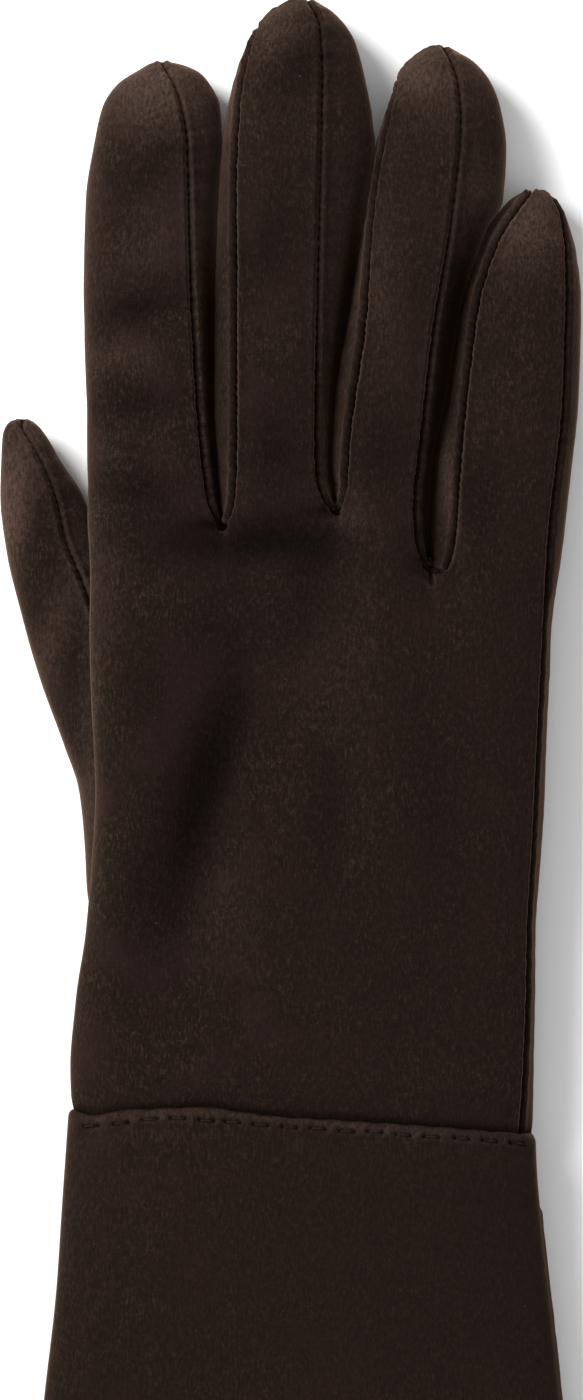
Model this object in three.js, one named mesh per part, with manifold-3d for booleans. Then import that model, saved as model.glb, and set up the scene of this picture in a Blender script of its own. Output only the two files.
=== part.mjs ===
// Elbow-length suede glove for the right hand, lying palm down with its back up and the thumb tucked under.
// Millimetres. +X to the little finger, +Y to the fingertips, +Z up from the surface it lies on.
// The origin is on that surface, under the middle of the glove's length and width.
import * as THREE from 'three';
import { mergeVertices } from 'three/addons/utils/BufferGeometryUtils.js';
import Module from 'manifold-3d';

const wasm = await Module();
wasm.setup();

// Leather and seams
const SKIN = 1.2; // thickness of the leather
const SEAM_GAP = 0.3; // between two sewn pieces
const HEM_DEPTH = 6; // how far the cuff's upper edge is folded under

// Section rings: their number of sides and the exponent of their rounded rectangle, where 2 is an ellipse
const FINGER_RING = { sides: 20, roundness: 2.5 };
const HAND_RING = { sides: 40, roundness: 3 };
const CUFF_RING = { sides: 44, roundness: 3 };
const FLAT_SHARE = 1.12; // how far the lower half is pressed flat on the surface
const LIFT_SPAN = 9; // width over which the palm side rises onto the thumb
const BACK_SHARE = 0.3; // how much of that rise shows on the back

// Cutting forms reach past what they cut
const ABOVE = 30; // above the whole glove
const BELOW = -2; // below it
const SEAM_CUT_FROM = 7; // the outer seam is cut from this height up, through the back only
const PAST_END = 1; // past an open end
const HOLLOW_LEAST_WIDTH = 6; // a finger's hollow ends at the last section this wide inside

const SUEDE = { color: 0x2a201b, roughness: 0.95, metalness: 0 };

function table(columns, rows) {
  return rows.map((row) => Object.fromEntries(columns.map((column, i) => [column, row[i] ?? 0])));
}

// A row per section: its place along the glove, the outline on both sides, the underside and the top,
// then the rise of the palm side at the outline on the thumb side and where that rise starts.
const SECTION = ['y', 'left', 'right', 'under', 'top', 'lift', 'foot'];

const INDEX = table(SECTION, [
  [96, -37.6, -15.8, 1.2, 13, 10, -26],
  [110, -39.4, -15.5, 0.3, 14.4, 9.5, -29],
  [120, -40.3, -15.3, 0, 14.5, 7.5, -32.5],
  [131, -40.7, -16.1, 0, 13.8, 1.5, -34],
  [144, -41.1, -16.9, 0, 13.2],
  [163, -41.5, -16.7, 0, 13],
  [182, -41.1, -16.1, 0, 13],
  [193, -39.5, -15.3, 0, 12.4],
  [200, -37.9, -15.7, 0.3, 11.2],
  [204.2, -35.1, -17.7, 0.9, 10],
  [206.7, -31.3, -20, 1.7, 8.6],
  [208.2, -28.3, -24.4, 3.2, 6.8],
]);

const MIDDLE = table(SECTION, [
  [96, -15.4, 6.4, 1.2, 13.4],
  [110, -15.2, 6.4, 0.2, 14.8],
  [120, -15, 6.3, 0, 15],
  [131, -15.7, 5.4, 0, 14.6],
  [144, -16.5, 6, 0, 14.2],
  [163, -16.3, 9.1, 0, 14],
  [182, -15.7, 12.1, 0, 14],
  [192, -15, 13.8, 0, 13.8],
  [197.2, -14.3, 13.3, 0, 13.5],
  [206.7, -12.1, 11.5, 0.3, 12.2],
  [212.8, -9.6, 9.7, 0.9, 10.8],
  [216.8, -6.7, 6.9, 1.7, 9.4],
  [218.9, -3.9, 4.3, 2.9, 7.9],
  [220, -1.2, 1.9, 4.2, 6.4],
]);

const RING = table(SECTION, [
  [96, 6.8, 24.2, 1.2, 13.4],
  [110, 6.8, 24.1, 0.2, 14.6],
  [120, 6.7, 24, 0, 14.8],
  [131, 5.8, 24.6, 0, 14.4],
  [144, 6.4, 27.4, 0, 14],
  [163, 9.5, 30.5, 0, 13.8],
  [176, 11.5, 34.9, 0, 13.8],
  [182, 12.5, 38.1, 0, 13.8],
  [192, 14.2, 38.7, 0, 13.3],
  [200.1, 16.7, 37.5, 0.3, 12],
  [204.8, 18.5, 35.6, 0.9, 10.6],
  [208.2, 20.8, 32.8, 1.7, 9.2],
  [210.1, 23.5, 29.9, 2.8, 7.8],
  [211, 25.4, 28, 4, 6.4],
]);

const LITTLE = table(SECTION, [
  [86, 25, 44.6, 1.2, 12],
  [103, 24.6, 46.8, 0.4, 13.6],
  [112, 24.6, 48.4, 0, 13.8],
  [120, 24.4, 49.8, 0, 13.4],
  [131, 25, 51.4, 0, 13],
  [144, 27.8, 52.8, 0, 12.6],
  [163, 30.9, 53.4, 0, 12.4],
  [171.5, 33.8, 52.6, 0, 11.8],
  [176, 35.3, 51.6, 0.4, 11],
  [180.9, 38.6, 49.5, 1.4, 9.2],
  [182.8, 40.8, 47.8, 2.4, 7.8],
  [183.9, 43.2, 46.2, 3.6, 6.4],
]);

// The hand's own rows also say how much the row follows the slant of the wrist seam and the arch of the crotches.
const HAND = table([...SECTION, 'slant', 'arch'], [
  [1.4, -41.5, 41.7, 2.7, 12.3, 0, -20, 1],
  [8.8, -41.5, 41.7, 2.7, 12.3, 0, -20, 1],
  [15, -43.7, 43.9, 0, 14, 0, -20, 0.7],
  [30, -42.7, 44.3, 0, 14.5, 0.5, -18],
  [43, -40.8, 44.6, 0, 15, 1.5, -18],
  [56, -39.7, 45.6, 0, 15.4, 3.5, -15],
  [70, -38.9, 46.5, 0, 15.6, 6, -17],
  [88, -39.4, 47, 0, 15.8, 10, -24, 0, 0.3],
  [103, -39.8, 47.6, 0, 15.6, 10, -28, 0, 0.8],
  [113, -39.9, 48.2, 0, 14.6, 9.4, -30, 0, 1],
  [119, -39.9, 48.6, 0.4, 13, 8, -32, 0, 1],
  [122.6, -39.2, 48, 2, 10.6, 6, -33, 0, 1],
  [124, -38, 47, 3.8, 8.6, 3, -34, 0, 1],
]);

// The arch of the crotches between the fingers, as heights above the hand's own rows
const CROTCHES = table(['x', 'above'], [[-42, -2], [-15.1, 0], [6.6, 2.7], [24.8, -8.3], [50, -13]]);
const WRIST_SLANT = 2.5; // the wrist seam is this much higher on the thumb side, and as much lower on the other

const THUMB = table(SECTION, [
  [40.6, -35, -26.5, 2.5, 6.5],
  [43.3, -38.3, -22.5, 0.8, 9.5],
  [50, -40.6, -20, 0, 12],
  [59.4, -41.2, -19.5, 0, 13],
  [69.9, -42.3, -21.5, 0, 13],
  [78.4, -45.1, -25, 0, 12],
  [90, -49.3, -29.4, 0, 10.2],
  [103, -53.1, -33.8, 0, 9.6],
  [115.5, -56, -37.8, 0, 9.4],
  [126, -57.1, -41.6, 0, 9.4],
  [133, -57, -46, 0.3, 9],
  [137.5, -56.2, -50.6, 1.4, 7.8],
  [139.9, -54.7, -52.4, 3, 6.2],
]);

const CUFF = table([...SECTION, 'slant'], [
  [7.4, -44.2, 44.4, 0, 15.1, 0, 0, 1],
  [7.4 - HEM_DEPTH, -44.5, 44.4, 0, 15.1, 0, 0, 0.7],
  [-10, -45.4, 45.5, 0, 14.3],
  [-27, -46.6, 47.2, 0, 13],
  [-46, -48.7, 49.1, 0, 12.4],
  [-103, -54.6, 55, 0, 12.4],
  [-160, -60.1, 60.3, 0, 13.2],
  [-220, -65.3, 65.3, 0, 15],
]);

// Seams on the back, from a fingertip down one finger, round the crotch and up the next one to its tip.
// The last two points lie outside the fingers and close the outline of the strip.
const FORK_SEAMS = {
  fork_index_middle: [
    [-26.7, 208.6], [-23.1, 201], [-21.6, 192], [-21.2, 176], [-20.6, 160], [-19.5, 141.5], [-18.7, 133],
    [-17.2, 124], [-15.1, 120], [-13.4, 123], [-12.7, 130], [-12.5, 148], [-12.6, 184], [-12.1, 198.4],
    [-10.4, 208.8], [-8.4, 214.6], [-13, 221], [-25, 214],
  ],
  fork_middle_ring: [
    [1, 220.5], [3.4, 214.7], [3.9, 205.6], [3.5, 184], [2.9, 146], [3.1, 130.5], [4.6, 124.6], [6.6, 122.7],
    [7.8, 126], [8.8, 137], [11.5, 156.5], [12.6, 171], [14, 183.5], [15.9, 194], [18.9, 206.2],
    [16, 214], [8, 223],
  ],
  fork_ring_little: [
    [26.8, 211.6], [29.5, 204.2], [30.1, 197], [28.4, 178.4], [25, 156.5], [22.7, 136], [21.6, 124],
    [22.3, 116], [24.8, 111.5], [27.6, 113], [29.2, 124.3], [31.4, 148], [33.4, 163], [37.6, 175],
    [41.6, 181], [44.2, 184.6], [42, 192], [38, 212],
  ],
};

// The outer seam on the back, from the tip of the little finger down to the wrist
const OUTER_SEAM = [
  [48.2, 182.6], [50, 172], [50.3, 160], [49.5, 142.6], [47.6, 131], [46.2, 113], [45.4, 100],
  [44.4, 80], [43, 56], [42, 30], [40, 15], [38.5, -4],
];

// The value at a place between two rows of a table, which are in the order of that place
function interpolate(points, key, value, at) {
  const next = points.findIndex((point) => point[key] >= at);
  if (next <= 0) return points[next < 0 ? points.length - 1 : 0][value];
  const [before, after] = [points[next - 1], points[next]];
  return THREE.MathUtils.mapLinear(at, before[key], after[key], before[value], after[value]);
}

function signedPower(value, power) {
  return Math.sign(value) * Math.abs(value) ** power;
}

// One closed section of a finger, the hand or the cuff, drawn in by inset all round
function ring(row, { sides, roundness }, inset) {
  const middle = (row.left + row.right) / 2;
  const halfWidth = (row.right - row.left) / 2 - inset;
  const points = [];
  for (let i = 0; i < sides; i++) {
    const angle = (2 * Math.PI * (i + 0.5)) / sides;
    const across = signedPower(Math.cos(angle), 2 / roundness);
    const up = Math.max(-1, signedPower(Math.sin(angle), 2 / roundness) * (angle > Math.PI ? FLAT_SHARE : 1));
    const x = middle + halfWidth * across;
    const rise = row.lift * THREE.MathUtils.smoothstep(row.foot - x, 0, LIFT_SPAN);
    const low = row.under + rise + inset;
    const high = row.top + rise * BACK_SHARE - inset;
    const y = row.y - (row.slant ?? 0) * WRIST_SLANT * across
      + (row.arch ?? 0) * interpolate(CROTCHES, 'x', 'above', x);
    points.push([x, y, (low + high) / 2 + ((high - low) / 2) * up]);
  }
  return points;
}

function solid(positions, indices) {
  const geometry = new THREE.BufferGeometry();
  geometry.setAttribute('position', new THREE.Float32BufferAttribute(positions, 3));
  geometry.setIndex(indices);
  return solidOf(geometry);
}

function solidOf(geometry) {
  geometry.deleteAttribute('normal');
  geometry.deleteAttribute('uv');
  const merged = mergeVertices(geometry);
  const manifoldMesh = new wasm.Mesh({
    numProp: 3,
    vertProperties: merged.attributes.position.array,
    triVerts: new Uint32Array(merged.index.array),
  });
  return new wasm.Manifold(manifoldMesh);
}

// A closed form through rings that follow each other towards +Y or -Y, with a ladder of faces across both ends
function loft(rings) {
  const sides = rings[0].length;
  const positions = rings.flat(2);
  const indices = [];
  for (let row = 0; row + 1 < rings.length; row++) {
    for (let i = 0; i < sides; i++) {
      const [a, b] = [row * sides + i, row * sides + ((i + 1) % sides)];
      indices.push(a, a + sides, b, b, a + sides, b + sides);
    }
  }
  for (let i = 0; i + 1 < sides / 2; i++) {
    const [a, b, c, d] = [i, i + 1, sides - 2 - i, sides - 1 - i];
    indices.push(a, b, d, b, c, d);
    const [e, f, g, h] = [a, b, c, d].map((index) => index + (rings.length - 1) * sides);
    indices.push(f, e, h, f, h, g);
  }
  return solid(positions, rings.at(-1)[0][1] > rings[0][0][1] ? indices : indices.toReversed());
}

function upright(outline, low, high) {
  const shape = new THREE.Shape(outline.map(([x, y]) => new THREE.Vector2(x, y)));
  const geometry = new THREE.ExtrudeGeometry(shape, { depth: high - low, bevelEnabled: false });
  return solidOf(geometry.translate(0, 0, low));
}

// Moves an outline's points outwards by a distance, along the corner's bisector
function widened(outline, distance) {
  const turn = THREE.ShapeUtils.isClockWise(outline.map(([x, y]) => new THREE.Vector2(x, y))) ? -1 : 1;
  return outline.map(([x, y], i) => {
    const [before, after] = [outline.at(i - 1), outline[(i + 1) % outline.length]];
    const arriving = new THREE.Vector2(x - before[0], y - before[1]).normalize();
    const leaving = new THREE.Vector2(after[0] - x, after[1] - y).normalize();
    const normal = arriving.add(leaving).normalize();
    const reach = distance / Math.max(0.5, Math.abs(normal.dot(leaving)));
    return [x + turn * normal.y * reach, y - turn * normal.x * reach];
  });
}

// A finger or thumb: the skin's outer form, or the hollow inside it
function fingerForm(rows, inset) {
  const room = rows.filter((row) => inset <= 0 || row.right - row.left > 2 * inset + HOLLOW_LEAST_WIDTH);
  return loft(room.map((row) => ring(row, FINGER_RING, inset)));
}

function handForm(inset) {
  const [wrist, crotch] = [HAND[0], HAND.at(-1)];
  const rows = HAND.map((row) => {
    if (row === wrist && inset > 0) return { ...row, y: row.y - PAST_END };
    if (row === crotch) return { ...row, y: row.y - inset };
    return row;
  });
  const palm = loft(rows.map((row) => ring(row, HAND_RING, inset)));
  return [INDEX, MIDDLE, RING, LITTLE].reduce((form, rows) => form.add(fingerForm(rows, inset)), palm);
}

const handOuter = handForm(0);
const handHollow = handForm(SKIN);
const handSkin = handOuter.subtract(handHollow);

const thumbHollow = fingerForm(THUMB, SKIN);

// A strip between two fingers: all of the skin inside its seams
function forkNode(name) {
  return handSkin.intersect(upright(FORK_SEAMS[name], BELOW, ABOVE));
}

// The skin that is folded round the hand, without the strips between the fingers
function trankNode() {
  const seamCut = [...OUTER_SEAM, ...OUTER_SEAM.map(([x, y]) => [x + SEAM_GAP, y]).toReversed()];
  const strips = Object.values(FORK_SEAMS).map((seam) => upright(widened(seam, SEAM_GAP), BELOW, ABOVE));
  return [...strips, upright(seamCut, SEAM_CUT_FROM, ABOVE), thumbHollow]
    .reduce((skin, cutter) => skin.subtract(cutter), handSkin);
}

// The thumb ends on the palm's outer side, round the hole that its own hollow makes there
function thumbNode() {
  return fingerForm(THUMB, 0).subtract(thumbHollow).subtract(handForm(-SEAM_GAP));
}

// The cuff is doubled where its upper edge is folded under, so its mouth is narrower there
function cuffNode() {
  const form = (rows, inset) => loft(rows.map((row) => ring(row, CUFF_RING, inset)));
  const [edge, hem] = CUFF;
  const elbow = CUFF.at(-1);
  const hollow = form([...CUFF.slice(1, -1), { ...elbow, y: elbow.y - PAST_END }], SKIN);
  const mouth = form([{ ...edge, y: edge.y + PAST_END }, edge, { ...hem, y: hem.y - PAST_END }], 2 * SKIN);
  return form(CUFF, 0).subtract(hollow).subtract(mouth);
}

function piece(name, form) {
  const mesh = form.getMesh();
  const geometry = new THREE.BufferGeometry();
  geometry.setAttribute('position', new THREE.BufferAttribute(mesh.vertProperties, 3));
  geometry.setIndex(new THREE.BufferAttribute(mesh.triVerts, 1));
  geometry.computeVertexNormals();
  const node = new THREE.Mesh(geometry, new THREE.MeshStandardMaterial(SUEDE));
  node.name = name;
  return node;
}

const glove = new THREE.Group();
glove.name = 'glove';
glove.add(piece('trank', trankNode()));
for (const name of Object.keys(FORK_SEAMS)) glove.add(piece(name, forkNode(name)));
glove.add(piece('thumb', thumbNode()));
glove.add(piece('cuff', cuffNode()));

export default glove;
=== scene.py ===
"""An elbow-length suede glove, lying palm down with its back up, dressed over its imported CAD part.

Everything is in metres in the CAD frame: X to the little finger, Y to the fingertips, Z up.
"""
import logging
import math
from dataclasses import dataclass, field
from enum import Enum
from typing import Sequence

import bpy
import numpy as np
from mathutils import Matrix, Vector, kdtree, noise


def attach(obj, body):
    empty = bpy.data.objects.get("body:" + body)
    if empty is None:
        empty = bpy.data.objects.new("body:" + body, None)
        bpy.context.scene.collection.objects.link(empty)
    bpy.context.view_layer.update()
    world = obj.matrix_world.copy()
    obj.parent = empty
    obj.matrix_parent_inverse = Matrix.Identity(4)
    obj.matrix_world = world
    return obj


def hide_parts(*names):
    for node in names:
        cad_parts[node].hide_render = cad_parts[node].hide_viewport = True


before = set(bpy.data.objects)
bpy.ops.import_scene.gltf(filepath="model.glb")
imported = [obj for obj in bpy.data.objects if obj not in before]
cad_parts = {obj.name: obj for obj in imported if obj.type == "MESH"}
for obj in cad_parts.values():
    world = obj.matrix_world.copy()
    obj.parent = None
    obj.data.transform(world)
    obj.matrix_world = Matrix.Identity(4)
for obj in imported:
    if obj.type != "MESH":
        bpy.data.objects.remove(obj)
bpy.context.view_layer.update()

log = logging.getLogger("glove")

MM = 0.001
BODY = "root"

Rows = Sequence[Sequence[float]]
Share = float | np.ndarray  # one for all points, or one for each

# Leather
SKIN = 1.1 * MM  # thickness of the suede
INSIDE_STEP = 3  # the unseen inner side has one face for so many of the outer side's, both ways
FLAT_SHARE = 1.12  # how far the palm side is pressed flat
LIFT_SPAN = 9 * MM  # width over which the palm side rises onto the thumb
BACK_SHARE = 0.3  # how much of that rise shows on the back
FOLD_SHADE = 0.75  # painted shadow: how dark the leather is painted where it goes under the cuff's fold
# how far above the fold that painted shadow reaches
FOLD_REACH = 1.2 * MM
CROWD = 14  # how many times closer the columns of points stand at a sewn edge
CROWD_REACH = 0.9 * MM
SEED = 5078

# The leather's own waves: height in millimetres, waves a metre along each axis, and a shift
WAVES = [(.55, (26, 17, 30), (0, 0, 3)), (.25, (75, 48, 60), (9, 0, 0))]

# The frame that the photograph covers, and its middle
VIEW_HEIGHT = 266 * MM
VIEW_MIDDLE = (-1.9 * MM, 87 * MM)
OUTLINE_HEIGHT = 7 * MM  # the outline that the camera sees lies at this height

# A row per section: place along the glove, outline on both sides, underside and top, rise of the palm
# side at the outline on the thumb side, and where that rise starts. Millimetres. The hand's rows also
# say how much a row follows the slant of the wrist and the arch of the crotches. A row may stop early,
# and is then filled up with FILLING.
FILLING = [0, 0, 0, 0, 0, 0, -34, 0, 0]
INDEX_ROWS = [
    [96, -37.6, -15.8, 1.2, 13, 10, -26], [110, -39.4, -15.5, .3, 14.4, 9.5, -29],
    [120, -40.3, -15.3, 0, 14.5, 7.5, -32.5], [131, -40.7, -16.1, 0, 13.8, 1.5, -34],
    [144, -41.1, -16.9, 0, 13.2], [163, -41.5, -16.7, 0, 13], [182, -41.1, -16.1, 0, 13],
    [193, -39.5, -15.3, 0, 12.4], [200, -37.9, -15.7, .3, 11.2], [204.2, -35.1, -17.7, .9, 10],
    [206.7, -31.3, -20, 1.7, 8.6], [208.2, -28.3, -24.4, 3.2, 6.8], [208.4, -26.4, -26.3, 4.9, 5.1],
]
MIDDLE_ROWS = [
    [96, -15.4, 6.4, 1.2, 13.4], [110, -15.2, 6.4, .2, 14.8], [120, -15, 6.3, 0, 15],
    [131, -15.7, 5.4, 0, 14.6], [144, -16.5, 6, 0, 14.2], [163, -16.3, 9.1, 0, 14],
    [182, -15.7, 12.1, 0, 14], [192, -15, 13.8, 0, 13.8], [197.2, -14.3, 13.3, 0, 13.5],
    [206.7, -12.1, 11.5, .3, 12.2], [212.8, -9.6, 9.7, .9, 10.8], [216.8, -6.7, 6.9, 1.7, 9.4],
    [218.9, -3.9, 4.3, 2.9, 7.9], [220, -1.2, 1.9, 4.2, 6.4], [220.1, .3, .4, 5.2, 5.4],
]
RING_ROWS = [
    [96, 6.8, 24.2, 1.2, 13.4], [110, 6.8, 24.1, .2, 14.6], [120, 6.7, 24, 0, 14.8],
    [131, 5.8, 24.6, 0, 14.4], [144, 6.4, 27.4, 0, 14], [163, 9.5, 30.5, 0, 13.8],
    [176, 11.5, 34.9, 0, 13.8], [182, 12.5, 38.1, 0, 13.8], [192, 14.2, 38.7, 0, 13.3],
    [200.1, 16.7, 37.5, .3, 12], [204.8, 18.5, 35.6, .9, 10.6], [208.2, 20.8, 32.8, 1.7, 9.2],
    [210.1, 23.5, 29.9, 2.8, 7.8], [211, 25.4, 28, 4, 6.4], [211.1, 26.6, 26.7, 5.1, 5.3],
]
LITTLE_ROWS = [
    [86, 25, 44.6, 1.2, 12], [103, 24.6, 46.8, .4, 13.6], [112, 24.6, 48.4, 0, 13.8],
    [120, 24.4, 49.8, 0, 13.4], [131, 25, 51.4, 0, 13], [144, 27.8, 52.8, 0, 12.6],
    [163, 30.9, 53.4, 0, 12.4], [171.5, 33.8, 52.6, 0, 11.8], [176, 35.3, 51.6, .4, 11],
    [180.9, 38.6, 49.5, 1.4, 9.2], [182.8, 40.8, 47.8, 2.4, 7.8], [183.9, 43.2, 46.2, 3.6, 6.4],
    [184, 44.6, 44.7, 4.9, 5.1],
]
HAND_ROWS = [
    [0, -41.7, 41.9, 2.2, 12.5, 0, -20, 1], [5, -42.6, 42.6, 1.9, 12.6, 0, -20, 1],
    [6, -43.1, 43.1, 1.7, 12.6, 0, -20, 1], [7.2, -43.4, 43.5, 1.2, 12.7, 0, -20, 1],
    [8.6, -43.7, 43.7, .9, 12.8, 0, -20, 1], [9.8, -43.8, 43.8, .6, 13.1, 0, -20, .95],
    [15, -43.9, 43.9, 0, 14.2, 0, -20, .7], [30, -42.7, 44.3, 0, 14.6, .5, -18],
    [43, -40.8, 44.6, 0, 15, 1.5, -18], [56, -39.7, 45.6, 0, 15.4, 3.5, -15],
    [70, -38.9, 46.4, 0, 15.6, 6, -17], [88, -39.4, 46.7, 0, 15.8, 10, -24, 0, .3],
    [103, -39.8, 47, 0, 15.6, 10, -28, 0, .8], [113, -39.9, 47.4, 0, 15.4, 9.4, -30, 0, 1],
    [120, -40.1, 48, 0, 15.2, 7.6, -32.5, 0, 1],
]
THUMB_ROWS = [
    [40.3, -30.8, -30.7, 4.4, 4.6], [40.6, -35, -26.5, 2.5, 6.5], [43.3, -38.3, -22.5, .8, 9.5],
    [50, -40.6, -20, 0, 12], [59.4, -41.2, -19.5, 0, 13], [69.9, -42.3, -21.5, 0, 13],
    [78.4, -45.1, -25, 0, 12], [90, -49.3, -29.4, 0, 10.2], [103, -53.1, -33.8, 0, 9.6],
    [115.5, -56, -37.8, 0, 9.4], [126, -57.1, -41.6, 0, 9.4], [133, -57, -46, .3, 9],
    [137.3, -56.8, -48.6, 1.2, 8], [139.2, -56.2, -50.1, 2.4, 6.9], [140.2, -55.1, -51.4, 3.4, 5.8],
    [140.5, -53.4, -53.2, 4.5, 4.7],
]
CUFF_ROWS = [
    [7.4, -44.2, 44.4, 0, 15], [1.4, -44.6, 44.6, 0, 15], [-10, -45.4, 45.5, 0, 14.3],
    [-27, -46.6, 47.2, 0, 13.1], [-46, -48.7, 49.1, 0, 12.4], [-103, -54.6, 55, 0, 12.4],
    [-160, -60.1, 60.3, 0, 13.2], [-220, -65.2, 65.2, 0, 15],
]

# Seams on the back, from a fingertip down one finger, round the crotch and up the next one to its tip
INDEX_MIDDLE_SEAM = [
    [-26.7, 208.6], [-23.1, 201], [-21.6, 192], [-21.2, 176], [-20.6, 160], [-19.5, 141.5], [-18.7, 133],
    [-17.2, 124], [-15.1, 120], [-13.4, 123], [-12.7, 130], [-12.5, 148], [-12.6, 184], [-12.1, 198.4],
    [-10.4, 208.8], [-8.4, 214.6],
]
MIDDLE_RING_SEAM = [
    [1, 220.5], [3.4, 214.7], [3.9, 205.6], [3.5, 184], [2.9, 146], [3.1, 130.5], [4.6, 124.6],
    [6.6, 122.7], [7.8, 126], [8.8, 137], [11.5, 156.5], [12.6, 171], [14, 183.5], [15.9, 194],
    [18.9, 206.2],
]
RING_LITTLE_SEAM = [
    [26.8, 211.6], [29.5, 204.2], [30.1, 197], [28.4, 178.4], [25, 156.5], [22.7, 136], [21.5, 122.4],
    [22, 116.2], [22.9, 113.2], [23.8, 112], [24.8, 111.5], [26.4, 111.9], [27.3, 112.7], [28.2, 115],
    [29.1, 120.2], [29.6, 127.5], [31.4, 148], [33.4, 163], [37.6, 175], [41.6, 181], [44.2, 184.6],
]
# The seam along the little finger and the hand's outer edge, and the one on the thumb
OUTER_SEAM = [
    [47.4, 183.4], [49.3, 179.5], [50.3, 171.4], [50.4, 163], [50.1, 155], [49.6, 142.7], [48.3, 130.7],
    [47, 120], [45.9, 104], [44.9, 81], [43.8, 56], [43, 43], [42.7, 30], [41.9, 15], [40, -4],
]
THUMB_SEAM = [
    [-53.1, 138.7], [-51, 135.3], [-48.2, 129.8], [-46.3, 124.4], [-44.7, 117.2], [-42.8, 112.5],
    [-40.9, 107.7], [-36.5, 95], [-33, 80], [-31, 65], [-30, 50],
]
# The arch of the crotches, as heights above their level
CROTCH_LEVEL = 120 * MM
CROTCHES = [[-42, -2], [-15.1, 0], [6.6, 2.7], [24.8, -8.3], [50, -13]]
WRIST_SLANT = 2.5 * MM

# The folded edge of the cuff and the line of its stitches, from the thumb side to the other
CUFF_EDGE = [
    [-44.2, 9.7], [-42.6, 9], [-39.1, 8.5], [-36.2, 9], [-33.9, 9.5], [-29.4, 9.7], [-18.7, 10.1],
    [-10.7, 9.1], [-3.5, 8.3], [5, 7.8], [17, 7], [44.2, 4.7],
]
STITCH_LINE = [
    [-39.8, 6.4], [-34.1, 7], [-28.6, 7.8], [-23.3, 8], [-17.9, 7.6], [-13, 7.3], [-7.7, 6.8], [-2.2, 6.4],
    [3.1, 6.1], [8.6, 5.6], [13.9, 5.5], [19.2, 4.9], [24.6, 4.5], [30.3, 4.2], [35.6, 3.7], [40.9, 3.1],
]
STITCH_LENGTH = 2.7 * MM

# Soft hollows on the back; the places painted lighter, as painted highlight where the light falls on the
# tips, left edges and the cuff's fold and partly as wear at the tips; and the painted shade in the hollows:
# middle, reach along and across, turn of the long way from +Y to +X, and depth or strength. Millimetres and
# degrees.
HOLLOWS = [
    [-15.5, 74, 25, 4.5, 13, 2.0], [-9, 116, 16, 4.5, 86, 1.3], [-29, 50, 14, 4, 10, .9],
    [5.4, 68, 15, 4.5, 2, .8], [20, 100, 20, 7, 8, .6], [28, 60, 34, 9, 4, .5], [-5, 40, 24, 9, 20, .7],
    [-30.7, 161, 8, 3.5, 76, .7], [-30.7, 143, 8, 3.5, 86, .6], [-32, 127, 8, 3, 90, .5],
    [-5, 172, 8, 5, 40, .5], [-5, 135, 8, 6, 20, .7], [15, 134, 7, 5, 0, .5], [14, 160, 14, 4, -8, .5],
    [34, 126, 10, 4, 0, .6], [38, 152, 14, 4, -6, .6],
]
WORN_AND_LIT = [
    [-28, 204, 9, 9, 0, .9], [-5, 215, 8, 5, 30, .5], [23, 206, 9, 7, -20, .75], [42, 179, 9, 7, -20, .85],
    [-55, 124, 16, 3.5, 10, 1], [-40, 178, 26, 2.5, 0, .15], [10.5, 120, 6, 3, 0, .15],
    [-47, 100, 22, 3, 20, .4], [-14, 205, 12, 2.5, 0, .6], [28, 126, 13, 1.7, -8, .35],
    [-40, 80, 30, 2, 0, .4], [-19.1, 158, 26, .8, -3, .5], [-31, 8.2, 14, 1.1, 86, .3],
    [12, 6.2, 32, 1.1, 95, .3], [-33, 152, 8, 3, 84, .25], [-28, 174, 9, 6, 40, .25],
    [-36, 108, 14, 5, 0, .2], [-14, 46, 12, 8, 0, .2], [13, 168, 16, 5, -10, .2], [8, 92, 18, 8, 0, .12],
]
HOLLOW_SHADE = [
    [-17.5, 75, 23, 7, 14, .68], [-13, 80, 15, 3, 14, .4], [-25, 52, 18, 6, 14, .65],
    [-12, 117, 14, 5, 86, 1], [4, 116, 9, 4, 86, .5], [1, 107, 12, 6, 20, .55], [-30, 122, 10, 9, 0, .3],
    [5.4, 67, 14, 4, 2, .45], [-30.7, 161, 8, 3, 76, .65], [-30.7, 143, 8, 3, 86, .6],
    [-32, 127, 9, 3.5, 90, .45], [-27, 190, 6, 3, 40, .45], [-1, 207, 7, 5, 60, .6],
    [-6, 172, 9, 5, 10, .45], [-5, 134, 10, 5, 0, .55], [21, 199, 6, 3, 70, .55], [15, 133, 8, 5, 0, .45],
    [34, 125, 9, 4, 0, .45], [-20, 100, 14, 5, 30, .35], [26, 112, 9, 6, 60, .35], [24, 72, 22, 5, -6, .25],
]


class Side(Enum):
    """The two faces of the glove."""

    BACK = "back"
    PALM = "palm"


class Way(Enum):
    """Which way a rim runs along its chain of points."""

    ALONG = "along"
    AGAINST = "against"


def smoothstep(value: Share, low: float, high: float) -> Share:
    """Rises from 0 at low to 1 at high with level ends.

    Args:
        value: the values to grade.
        low: where the rise starts.
        high: where it ends.

    Returns:
        The graded values.
    """
    share = np.clip((np.asarray(value, float) - low) / (high - low), 0, 1)
    return share * share * (3 - 2 * share)


def bell(distance: Share, width: float) -> Share:
    """1 where the distance is nothing, falling off over a width."""
    return np.exp(-(distance / width) ** 2)


def signed_power(value: np.ndarray, power: float) -> np.ndarray:
    """Raises the size of a value to a power and keeps its sign."""
    return np.sign(value) * np.abs(value) ** power


def running(steps: np.ndarray) -> np.ndarray:
    """The running total of steps, from 0."""
    return np.concatenate([[0], np.cumsum(steps)])


def laid(flat: np.ndarray, y: Share) -> np.ndarray:
    """Places in space for the points (x, z) of a section, at y."""
    return np.stack([flat[:, 0], np.broadcast_to(y, len(flat)), flat[:, 1]], axis=1)


def squares(grid: np.ndarray) -> np.ndarray:
    """The four corners of each square between the points of a grid, in turn."""
    return np.stack([grid[:-1, :-1], grid[1:, :-1], grid[1:, 1:], grid[:-1, 1:]], axis=-1).reshape(-1, 4)


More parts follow.
